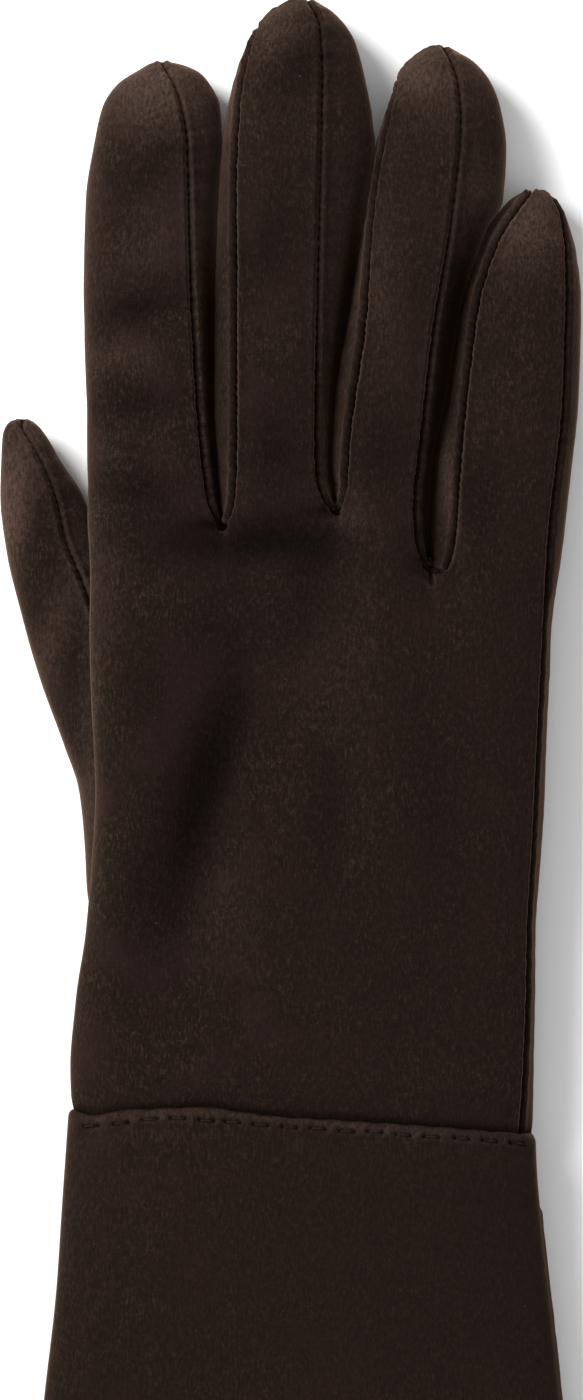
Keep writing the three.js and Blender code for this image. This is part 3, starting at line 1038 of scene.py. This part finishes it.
@dataclass
class Thumb:
    """The thumb, tucked under the palm, with a seam from its tip along its upper side."""

    rows: int = 240
    columns: int = 90
    roundness: float = 2.4
    root: float = 41 * MM

    def build(self) -> bpy.types.Object:
        """Builds the thumb.

        Returns:
            The new object.
        """
        block, widths = [], []
        for section in Sections(THUMB_ROWS).towards_tip(self.root, self.rows):
            loop = Loop(section[1:7], self.roundness)
            start = loop.over(along_line(THUMB_SEAM, section[0]))
            shares = spread(loop.right, self.columns, 1, 1)
            block.append(laid(loop.points(start, start + loop.right, shares), section[0]))
            widths.append(loop.right / 2)
        block = np.array(block)
        for end in (0, -1):
            block[end] = block[end].mean(axis=0)
        skin = Skin("suede_thumb")
        grid = skin.add(block)
        grid[:, -1] = grid[:, 0]
        seams = Seams(seed=SEED + 40)
        seams.add(block[:, 0], np.array(widths))
        return dress(skin, seams, np.concatenate([grid[0], grid[-1]]))


def stitch_ends() -> list[tuple[np.ndarray, np.ndarray]]:
    """Places the running stitches along their line.

    Returns:
        Both ends of each, in metres.
    """
    middles = np.array(STITCH_LINE) * MM
    ways = np.gradient(middles, axis=0)
    ways /= np.linalg.norm(ways, axis=1, keepdims=True)
    half = STITCH_LENGTH / 2
    return [(middle - way * half, middle + way * half) for middle, way in zip(middles, ways)]


@dataclass(frozen=True)
class Dent:
    """A soft dent beside each running stitch, in millimetres."""

    up: float  # how far above the stitch's middle it lies
    length: float  # how many times longer than high it is
    reach: float
    depth: float


@dataclass
class Cuff:
    """The long cuff, turned under along its upper edge and held down there by a row of running stitches."""

    back_columns: int = 300
    palm_columns: int = 120
    tall_rows: int = 74
    near_rows: int = 53
    turn_rows: int = 18
    inside_rows: int = 40
    roundness: float = 3.0
    fold: float = 1.1 * MM  # half the thickness of the turned edge
    turning: float = 2 * MM  # how far down its rounding starts
    fold_shade: float = .8  # painted shade: how dark the leather is painted as it turns under
    hem: float = 6 * MM  # depth of the turning
    fine: float = 16 * MM  # rows stand closer above this depth
    elbow: float = 227.4 * MM  # length below the edge
    edge_fade: tuple = (8 * MM, 60 * MM)  # depths over which rows stop following the folded edge
    wave: float = .8 * MM  # how uneven the cut edge at the elbow is
    wave_from: float = 150 * MM
    seam_inset: float = .6 * MM
    stitch_reach: float = 12 * MM  # how far from the stitches the leather is still drawn in
    bed: float = .75 * MM  # half width of the dent under a stitch
    bed_depth: float = .3 * MM
    bed_dark: float = .4 * MM  # half width of its painted shade
    bed_shade: float = .6  # how dark that painted shade is, where the painted shade in a needle hole is 1
    hole: float = .42 * MM
    hole_depth: float = .5 * MM
    hole_dark: float = .3 * MM
    dents: tuple = (Dent(-1.9, 1.5, 1.1, .28), Dent(1.5, 1.3, .9, .2))

    def profile(self) -> np.ndarray:
        """The line through the leather from the elbow end over the fold and back inside.

        Returns:
            The way down from the edge and the inset of each of its points.
        """
        tall = np.linspace(self.elbow, self.fine, self.tall_rows)
        near = np.linspace(self.fine, self.turning, self.near_rows + 1)[1:]
        turn = [
            (self.turning * (1 - math.sin(angle)), self.fold * (1 - math.cos(angle)))
            for angle in np.linspace(0, math.pi, self.turn_rows + 1)[1:]
        ]
        under = [(down, 2 * self.fold) for down in (2.6 * MM, 4.4 * MM, self.hem)]
        inside = [(down, SKIN) for down in np.linspace(self.hem, self.elbow, self.inside_rows)]
        return np.array([(down, 0) for down in (*tall, *near)] + turn + under + inside)

    def draw(self, profile: np.ndarray) -> np.ndarray:
        """Draws the smooth cuff.

        Args:
            profile: its line, as from the profile method.

        Returns:
            Rows by columns of places.
        """
        sections = Sections(CUFF_ROWS)
        top = sections.rows[0, 0]
        back, palm = (np.linspace(0, 1, n + 1)[:-1] for n in (self.back_columns, self.palm_columns))
        block = []
        for down, inset in profile:
            loop = Loop(sections.at_y(top - down)[1:7], self.roundness, inset)
            flat = np.concatenate([loop.points(0, loop.left, back), loop.points(loop.left, loop.right, palm)])
            edge = along_line(CUFF_EDGE, flat[:, 0], across=True) - top
            follow = 1 - smoothstep(down, *self.edge_fade)
            wave = self.wave * np.array([noise.noise((x * 30, 0, 7)) for x in flat[:, 0]])
            uneven = smoothstep(down, self.wave_from, self.elbow)
            block.append(laid(flat, top - down + edge * follow + wave * uneven))
        return np.array(block)

    def build(self) -> bpy.types.Object:
        """Builds the cuff.

        Returns:
            The new object.
        """
        profile = self.profile()
        block = self.draw(profile)
        count = block.shape[1]
        points = block.reshape(-1, 3)
        grid = np.arange(len(points)).reshape(block.shape[:2])
        grid = np.column_stack([grid, grid[:, 0]])
        grid = np.vstack([grid, grid[:1]])
        ring = Skin("suede_cuff")
        ring.grids = [grid]
        normals = ring.normals(points)
        # The turning and the first part of the inner side are pressed together with the outer side.
        pressed_rows = int((profile[:, 1] < self.fold * 1.01).sum())
        pressed = np.repeat(np.arange(len(block)) < pressed_rows, count)
        top = CUFF_ROWS[0][0] * MM
        depth = relief(points) * smoothstep(top - points[:, 1], -12 * MM, 30 * MM)
        tuck, groove_shade = self.tuck(points)
        seams = Seams(roll=.6 * MM, pucker=.1 * MM, gather=.06 * MM, seed=SEED + 70)
        line = block[:self.tall_rows, 0] + [0, 0, -self.seam_inset]
        seams.add(line, np.full(len(line), 20 * MM))
        press, seam_shade = seams.press(points)
        depth = depth + np.where(pressed, tuck + press, 0)
        points = points - np.where(pressed, 1, -1)[:, None] * normals * depth[:, None]
        points[:, 2] = np.maximum(points[:, 2], 0)
        # Painted shade where the edge turns under the fold and lies in the dark gap beneath it
        turn_shade = smoothstep(profile[:, 1], .3 * self.fold, .9 * self.fold) * (profile[:, 0] < self.hem)
        shade = np.where(pressed, np.maximum(groove_shade, seam_shade), 0)
        return mesh_object(ring.name, points, squares(grid).tolist(),
                           np.maximum(shade, np.repeat(self.fold_shade * turn_shade, count)))

    def tuck(self, points: np.ndarray) -> tuple[np.ndarray, np.ndarray]:
        """How far the running stitches draw the fold in, and the painted shade in their needle holes and
        dents.

        Args:
            points: places on the cuff.

        Returns:
            The depth, and the painted shade at each place, which is 1 in a needle hole.
        """
        depth, groove_shade = np.zeros(len(points)), np.zeros(len(points))
        near = np.abs(points[:, 1] - self.hem) < self.stitch_reach
        flat, up = points[near, :2], points[near, 2] > OUTLINE_HEIGHT
        # low is how far the leather sinks; dark is the painted shade in the needle holes and along the dent
        # between them
        low, dark = np.zeros(len(flat)), np.zeros(len(flat))
        for side in Side:
            stitched = up if side is Side.BACK else ~up
            for start, end in stitch_ends():
                along, middle = (end - start) / np.linalg.norm(end - start), (start + end) / 2
                share = np.clip((flat - start) @ along, 0, STITCH_LENGTH)
                off = np.linalg.norm(flat - start - share[:, None] * along, axis=1)
                low += stitched * self.bed_depth * bell(off, self.bed)
                dark = np.maximum(dark, stitched * self.bed_shade * bell(off, self.bed_dark))
                for hole in (start, end):
                    far = np.linalg.norm(flat - hole, axis=1)
                    low += stitched * self.hole_depth * bell(far, self.hole)
                    dark = np.maximum(dark, stitched * bell(far, self.hole_dark))
                for dent in self.dents:
                    far = np.linalg.norm((flat - middle - [0, dent.up * MM]) / [dent.length, 1], axis=1)
                    low += stitched * dent.depth * MM * bell(far, dent.reach * MM)
        depth[near], groove_shade[near] = low, dark
        return depth, groove_shade


@dataclass
class Stitches:
    """The thread of the running stitches, on the back and the palm side of the wrist."""

    radius: float = .17 * MM
    sides: int = 8
    cuts: int = 9
    taper: float = .55  # how much thinner a stitch is at its ends
    dip: float = 2.6  # how many radii its ends go down
    sink: float = .25 * MM  # how deep it lies in the leather

    def model(self) -> tuple[np.ndarray, list]:
        """Models one stitch along X at the origin.

        Returns:
            Its points and its faces.
        """
        bpy.ops.object.select_all(action="DESELECT")
        bpy.ops.mesh.primitive_cylinder_add(vertices=self.sides, radius=self.radius,
                                            depth=STITCH_LENGTH, rotation=(0, math.pi / 2, 0))
        stitch = bpy.context.object
        bpy.ops.object.transform_apply(location=False, rotation=True, scale=False)
        bpy.ops.object.mode_set(mode="EDIT")
        bpy.ops.mesh.select_all(action="DESELECT")
        bpy.ops.object.mode_set(mode="OBJECT")
        for edge in stitch.data.edges:
            ends = [stitch.data.vertices[i].co.x for i in edge.vertices]
            edge.select = abs(ends[0] - ends[1]) > self.radius
        bpy.ops.object.mode_set(mode="EDIT")
        bpy.ops.mesh.select_mode(type="EDGE")
        bpy.ops.mesh.subdivide(number_cuts=self.cuts)
        bpy.ops.object.mode_set(mode="OBJECT")
        for vertex in stitch.data.vertices:
            share = abs(vertex.co.x) / (STITCH_LENGTH / 2)
            vertex.co.yz *= 1 - self.taper * share ** 6
            vertex.co.z -= self.dip * self.radius * share ** 4
        shape = np.array([vertex.co[:] for vertex in stitch.data.vertices])
        faces = [list(face.vertices) for face in stitch.data.polygons]
        bpy.data.objects.remove(stitch)
        return shape, faces

    def build(self, cuff: bpy.types.Object) -> bpy.types.Object:
        """Lays copies of the stitch along the line.

        Args:
            cuff: the finished cuff that they lie on.

        Returns:
            The threads as one object.
        """
        shape, faces = self.model()
        points, all_faces = [], []
        for side in Side:
            sign = 1 if side is Side.BACK else -1
            for start, end in stitch_ends():
                way, middle = (end - start) / np.linalg.norm(end - start), (start + end) / 2
                placed = np.empty_like(shape)
                placed[:, 0] = middle[0] + shape[:, 0] * way[0] - sign * shape[:, 1] * way[1]
                placed[:, 1] = middle[1] + shape[:, 0] * way[1] + sign * shape[:, 1] * way[0]
                height = self.height(cuff, middle, side)
                placed[:, 2] = height + sign * (shape[:, 2] + self.radius - self.sink)
                all_faces.extend([[i + len(points) * len(shape) for i in face] for face in faces])
                points.append(placed)
        return mesh_object("wrist_stitches", np.concatenate(points), all_faces,
                           np.zeros(len(points) * len(shape)))

    def height(self, cuff: bpy.types.Object, middle: np.ndarray, side: Side) -> float:
        """The height of the cuff's surface at a stitch, on one side.

        Args:
            cuff: the cuff.
            middle: of the stitch.
            side: back or palm.

        Returns:
            The height, in metres.
        """
        down = side is Side.BACK
        origin = Vector((*middle, 30 * MM if down else -30 * MM))
        hit, place, _, _ = cuff.ray_cast(origin, Vector((0, 0, -1 if down else 1)))
        return place.z if hit else OUTLINE_HEIGHT * (2 if down else 0)


class Wire:
    """A node's output socket, on which arithmetic adds Math nodes."""

    def __init__(self, graph: "Graph", socket: bpy.types.NodeSocket) -> None:
        """Wraps a socket.

        Args:
            graph: the material it belongs to.
            socket: the output.
        """
        self.graph, self.socket = graph, socket

    def math(self, operation: str, *values: "Wire | float") -> "Wire":
        """Adds one Math node."""
        return self.graph.node("ShaderNodeMath", {"operation": operation}, dict(enumerate(values)))

    def __add__(self, other: "Wire | float") -> "Wire":
        """self + other."""
        return self.math("ADD", self, other)

    def __rsub__(self, other: "Wire | float") -> "Wire":
        """other - self."""
        return self.math("SUBTRACT", other, self)

    def __mul__(self, other: "Wire | float") -> "Wire":
        """self * other."""
        return self.math("MULTIPLY", self, other)

    __radd__, __rmul__ = __add__, __mul__

    def between(self, low: float, high: float) -> "Wire":
        """Rises smoothly from 0 at low to 1 at high."""
        inputs = {"Value": self, "From Min": low, "From Max": high}
        return self.graph.node("ShaderNodeMapRange", {"interpolation_type": "SMOOTHSTEP"}, inputs)


class Graph:
    """The nodes of one material."""

    def __init__(self, name: str) -> None:
        """Starts a material with a Principled shader.

        Args:
            name: of the material.
        """
        self.material = bpy.data.materials.new(name)
        self.material.use_nodes = True
        self.tree = self.material.node_tree
        self.shader = next(n for n in self.tree.nodes if n.type == "BSDF_PRINCIPLED")

    def node(self, kind: str, settings: dict, inputs: dict, output: str | int = 0) -> Wire:
        """Adds any node.

        Args:
            kind: its type.
            settings: its properties, set first.
            inputs: values or wires by socket name or number.
            output: the output that is wanted.

        Returns:
            That output.
        """
        node = self.tree.nodes.new(kind)
        for key, value in settings.items():
            setattr(node, key, value)
        for key, value in inputs.items():
            self.put(node.inputs[key], value)
        return Wire(self, node.outputs[output])

    def put(self, socket: bpy.types.NodeSocket, value: object) -> None:
        """Links a wire to an input, or sets its value.

        Args:
            socket: the input.
            value: the wire, or a value of the socket's own kind.
        """
        if isinstance(value, Wire):
            self.tree.links.new(value.socket, socket)
        else:
            socket.default_value = value

    def set(self, **inputs: object) -> None:
        """Sets or links the shader's inputs, whose spaces are written as underscores."""
        for key, value in inputs.items():
            self.put(self.shader.inputs[key.replace("_", " ")], value)

    def cover(self, share: Wire, inputs: dict) -> None:
        """Lays a second Principled shader over the first one.

        Args:
            share: how much it hides.
            inputs: its values by socket name.
        """
        under = Wire(self, self.shader.outputs[0])
        over = self.node("ShaderNodeBsdfPrincipled", {}, inputs)
        both = self.node("ShaderNodeMixShader", {}, {0: share, 1: under, 2: over})
        output = next(n for n in self.tree.nodes if n.type == "OUTPUT_MATERIAL")
        self.put(output.inputs["Surface"], both)

    def place(self) -> Wire:
        """The place on the object, in millimetres."""
        return self.vector("MULTIPLY", self.node("ShaderNodeTexCoord", {}, {}, "Object"), (1 / MM,) * 3)

    def axis(self, place: Wire, name: str) -> Wire:
        """One coordinate of a place."""
        return self.node("ShaderNodeSeparateXYZ", {}, {"Vector": place}, name)

    def kept(self, name: str) -> Wire:
        """The value that the mesh keeps at each point under a name."""
        return self.node("ShaderNodeAttribute", {"attribute_name": name}, {}, "Fac")

    def vector(self, operation: str, first: Wire, second: Wire | tuple) -> Wire:
        """Adds a Vector Math node."""
        return self.node("ShaderNodeVectorMath", {"operation": operation}, {0: first, 1: second})

    def noise(self, place: Wire, scale: float, detail: float = 2, rough: float = .5, bend: float = 0) -> Wire:
        """Adds a noise of so many waves a millimetre."""
        inputs = {"Vector": place, "Scale": scale, "Detail": detail, "Roughness": rough, "Distortion": bend}
        return self.node("ShaderNodeTexNoise", {}, inputs)

    def mix(self, share: Wire | float, first: Wire | tuple, second: Wire | tuple) -> Wire:
        """Mixes two colours."""
        return self.node("ShaderNodeMix", {"data_type": "RGBA"}, {0: share, 6: first, 7: second}, 2)

    def bump(self, height: Wire, distance: float) -> Wire:
        """Adds a Bump node."""
        inputs = {"Height": height, "Distance": distance, "Strength": 1}
        return self.node("ShaderNodeBump", {}, inputs, "Normal")


@dataclass(frozen=True)
class SuedeFinish:
    """Dark brown suede: short nap, a soft bloom at grazing angles, a little lint, painted shade in its
    hollows, seams and gaps, and painted highlight on its tips and lit edges that is partly wear.

    Scales are in waves a millimetre.
    """

    deep: tuple = (.0058, .0036, .0027, 1)
    body: tuple = (.0132, .0081, .0058, 1)
    worn: tuple = (.0330, .0205, .0146, 1)
    reddish: tuple = (.0190, .0098, .0090, 1)
    # painted highlight, partly wear, for the tips, the lit edges and the cuff's fold
    light: tuple = (.0480, .0305, .0235, 1)
    # painted shade of the soft hollows
    shaded: tuple = (.0040, .0024, .0018, 1)
    # near-black painted shade laid over the suede in seams, gaps, folds, needle holes and hollows
    shade_black: tuple = (.0012, .0008, .0006, 1)
    lint: tuple = (.20, .16, .13, 1)
    bloom: tuple = (.62, .38, .27, 1)
    bloom_weight: float = .4
    nap: float = .2 * MM
    strokes: tuple = (2.3, .75, 2.3)  # fibres that lie along the glove
    slanted: tuple = (1.1, 1.6, 1.6)  # and across it
    grain: float = 4.5
    tufts: float = .16
    tint: float = .07
    clouds: float = .035
    specks: float = .33
    wrist: tuple = (0, 14)  # the nap is rougher on the hand, which starts here, in millimetres
    thumb_side: tuple = (-24, 4)  # and roughest and reddest on its thumb side, which ends here

    def fibres(self, graph: Graph, place: Wire) -> Wire:
        """The nap: strokes along and across on a bent ground, and a fine grain.

        Args:
            graph: the material's nodes.
            place: the place on the object.

        Returns:
            Its height, round a half.
        """
        bend = graph.node("ShaderNodeTexNoise", {}, {"Vector": place, "Scale": .11, "Detail": 1}, "Color")
        bent = graph.vector("ADD", place, graph.vector("MULTIPLY", bend, (3, 3, 3)))
        strokes = graph.noise(graph.vector("MULTIPLY", bent, self.strokes), 1, 3, .6)
        slanted = graph.noise(graph.vector("MULTIPLY", bent, self.slanted), 1, 2, .55, .8)
        return strokes * .55 + slanted * .25 + graph.noise(place, self.grain, 2, .6) * .2

    def fluff(self, graph: Graph, place: Wire) -> Wire:
        """Specks of lint in a few cells of a loose pattern.

        Args:
            graph: the material's nodes.
            place: the place on the object.

        Returns:
            1 on a speck and 0 elsewhere.
        """
        cells, chosen = (
            graph.node("ShaderNodeTexVoronoi", {}, {"Vector": place, "Scale": self.specks}, output)
            for output in ("Distance", "Color")
        )
        pick = graph.node("ShaderNodeSeparateColor", {}, {"Color": chosen}, "Red")
        return (1 - cells.between(.012, .035)) * pick.between(.86, .9)

    def material(self) -> bpy.types.Material:
        """Builds the material.

        Returns:
            The material.
        """
        graph = Graph("suede")
        place = graph.place()
        nap = self.fibres(graph, place)
        tufts = graph.noise(place, self.tufts, 3, .55, .6).between(.35, .68)
        clouds = graph.noise(place, self.clouds).between(.3, .62)
        red = graph.noise(place, self.tint).between(.45, .7)
        speck = self.fluff(graph, place)
        hollow_shade = graph.kept("hollow_shade")
        hand = graph.axis(place, "Y").between(*self.wrist)
        thumb_side = 1 - graph.axis(place, "X").between(*self.thumb_side)
        rough = hand * (.65 + .55 * thumb_side)
        colour = graph.mix(nap.between(.34, .66), self.deep, self.body)
        for share, paint in (
            (nap.between(.5, .74) * (.25 + .5 * tufts) * (1 + rough), self.worn),
            ((1 - nap.between(.32, .56)) * rough, self.deep),
            (red * (.18 + .4 * hand * thumb_side), self.reddish),
            (clouds * .32, self.deep),
            # painted shade in the soft hollows
            (hollow_shade * .8, self.shaded),
            # painted highlight where the light falls, partly wear at the tips
            (graph.kept("worn_and_lit") * (.25 + .75 * nap.between(.36, .62)), self.light),
            (speck * .8, self.lint),
        ):
            colour = graph.mix(share, colour, paint)
        graph.set(Base_Color=colour, Roughness=1, Specular_IOR_Level=.02,
                  Normal=graph.bump(nap + tufts * .25 + speck * .3, self.nap),
                  Sheen_Weight=self.bloom_weight, Sheen_Roughness=.44, Sheen_Tint=self.bloom)
        # painted shade: a near-black matt shader hides the suede in seams, gaps, folds, needle holes and
        # hollows
        painted_shade = graph.kept("groove_shade") + hollow_shade * (.62 - .35 * nap.between(.3, .7))
        graph.cover(painted_shade, {"Base Color": self.shade_black, "Roughness": 1, "Specular IOR Level": 0})
        return graph.material


@dataclass(frozen=True)
class ThreadFinish:
    """Dark brown twisted sewing thread with a faint gloss."""

    colour: tuple = (.007, .0045, .0034, 1)
    light: tuple = (.022, .015, .011, 1)
    turns: float = 2.6  # of the twist, a millimetre
    ply: float = .06 * MM

    def material(self) -> bpy.types.Material:
        """Builds the material.

        Returns:
            The material.
        """
        graph = Graph("thread")
        twist = graph.node("ShaderNodeTexWave", {"bands_direction": "DIAGONAL"},
                           {"Vector": graph.place(), "Scale": self.turns, "Distortion": .6}, "Fac")
        graph.set(Base_Color=graph.mix(twist, self.colour, self.light), Roughness=.7,
                  Specular_IOR_Level=.08, Normal=graph.bump(twist, self.ply))
        return graph.material


@dataclass(frozen=True)
class FloorFinish:
    """A plain pale matt floor, a little uneven so that it isn't one flat colour."""

    colour: tuple = (.93, .93, .93, 1)
    duller: tuple = (.86, .86, .86, 1)

    def material(self) -> bpy.types.Material:
        """Builds the material.

        Returns:
            The material.
        """
        graph = Graph("floor")
        soft = graph.noise(graph.place(), .004, 1)
        graph.set(Base_Color=graph.mix(soft * .06, self.colour, self.duller), Roughness=.9)
        return graph.material


@dataclass(frozen=True)
class Lamp:
    """A square lamp over the glove, in metres and watts."""

    name: str
    place: tuple
    size: float
    power: float


@dataclass
class Studio:
    """The floor, the soft light and the camera that looks straight down."""

    lens: float = 150
    sensor: float = 36
    floor_width: float = 6.0
    sky: float = .6
    lamps: tuple = (Lamp("key", (-.8, .66, .6), .6, 29), Lamp("fill", (.9, -.3, 1.0), .9, 1.5))

    def build_floor(self) -> None:
        """Lays the floor."""
        bpy.ops.object.select_all(action="DESELECT")
        bpy.ops.mesh.primitive_plane_add(size=self.floor_width)
        floor = bpy.context.object
        floor.name = "floor"
        floor.data.materials.append(FloorFinish().material())

    def build_light(self) -> None:
        """Hangs one large lamp up to the left, a weaker one to the right, and lights the sky evenly."""
        world = bpy.data.worlds.new("studio")
        world.use_nodes = True
        sky = next(n for n in world.node_tree.nodes if n.type == "BACKGROUND")
        sky.inputs["Color"].default_value = (1, 1, 1, 1)
        sky.inputs["Strength"].default_value = self.sky
        bpy.context.scene.world = world
        for lamp in self.lamps:
            light = bpy.data.lights.new(lamp.name, "AREA")
            light.size, light.energy = lamp.size, lamp.power
            holder = bpy.data.objects.new(lamp.name, light)
            holder.location = lamp.place
            aim = Vector((0, VIEW_MIDDLE[1], 0)) - Vector(lamp.place)
            holder.rotation_euler = aim.to_track_quat("-Z", "Y").to_euler()
            bpy.context.scene.collection.objects.link(holder)

    def build_camera(self) -> None:
        """Puts the camera over the middle of the photograph's frame."""
        data = bpy.data.cameras.new("camera")
        data.lens, data.sensor_width = self.lens, self.sensor
        data.clip_start, data.clip_end = .05, 20
        distance = VIEW_HEIGHT * self.lens / self.sensor
        camera = bpy.data.objects.new("camera", data)
        camera.location = (*VIEW_MIDDLE, OUTLINE_HEIGHT + distance)
        bpy.context.scene.collection.objects.link(camera)
        bpy.context.scene.camera = camera

    def build(self) -> None:
        """Sets up the studio."""
        self.build_floor()
        self.build_light()
        self.build_camera()
        view = bpy.context.scene.view_settings
        view.view_transform, view.look = "Standard", "None"


@dataclass(frozen=True)
class Cut:
    """The flat size that a leather piece was cut to: width, length and area."""

    width: float
    length: float
    area: float


def declare(piece: bpy.types.Object, node: str, material: bpy.types.Material) -> None:
    """Gives a leather piece its finish, hangs it on the body, hides the CAD part that it replaces and logs
    its size.

    Args:
        piece: the piece.
        node: the CAD node that it replaces.
        material: its finish.
    """
    piece.data.materials.append(material)
    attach(piece, BODY)
    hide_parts(node)
    log.info("%s: %d points, %d faces", piece.name, len(piece.data.vertices), len(piece.data.polygons))


def main() -> None:
    """Builds the studio, then the glove from the hand to the cuff."""
    logging.basicConfig(level=logging.INFO, format="%(message)s")
    Studio().build()
    suede = SuedeFinish().material()
    hand = Hand()
    hand.mark_seams()
    declare(hand.build_trank(), "trank", suede)
    for number, node in enumerate(("fork_index_middle", "fork_middle_ring", "fork_ring_little")):
        declare(hand.build_fork(f"suede_{node}", number), node, suede)
    declare(Thumb().build(), "thumb", suede)
    cuff = Cuff().build()
    declare(cuff, "cuff", suede)
    threads = Stitches().build(cuff)
    threads.data.materials.append(ThreadFinish().material())
    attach(threads, BODY)
    log.info("%s: %d faces", threads.name, len(threads.data.polygons))


if __name__ == "__main__":
    main()
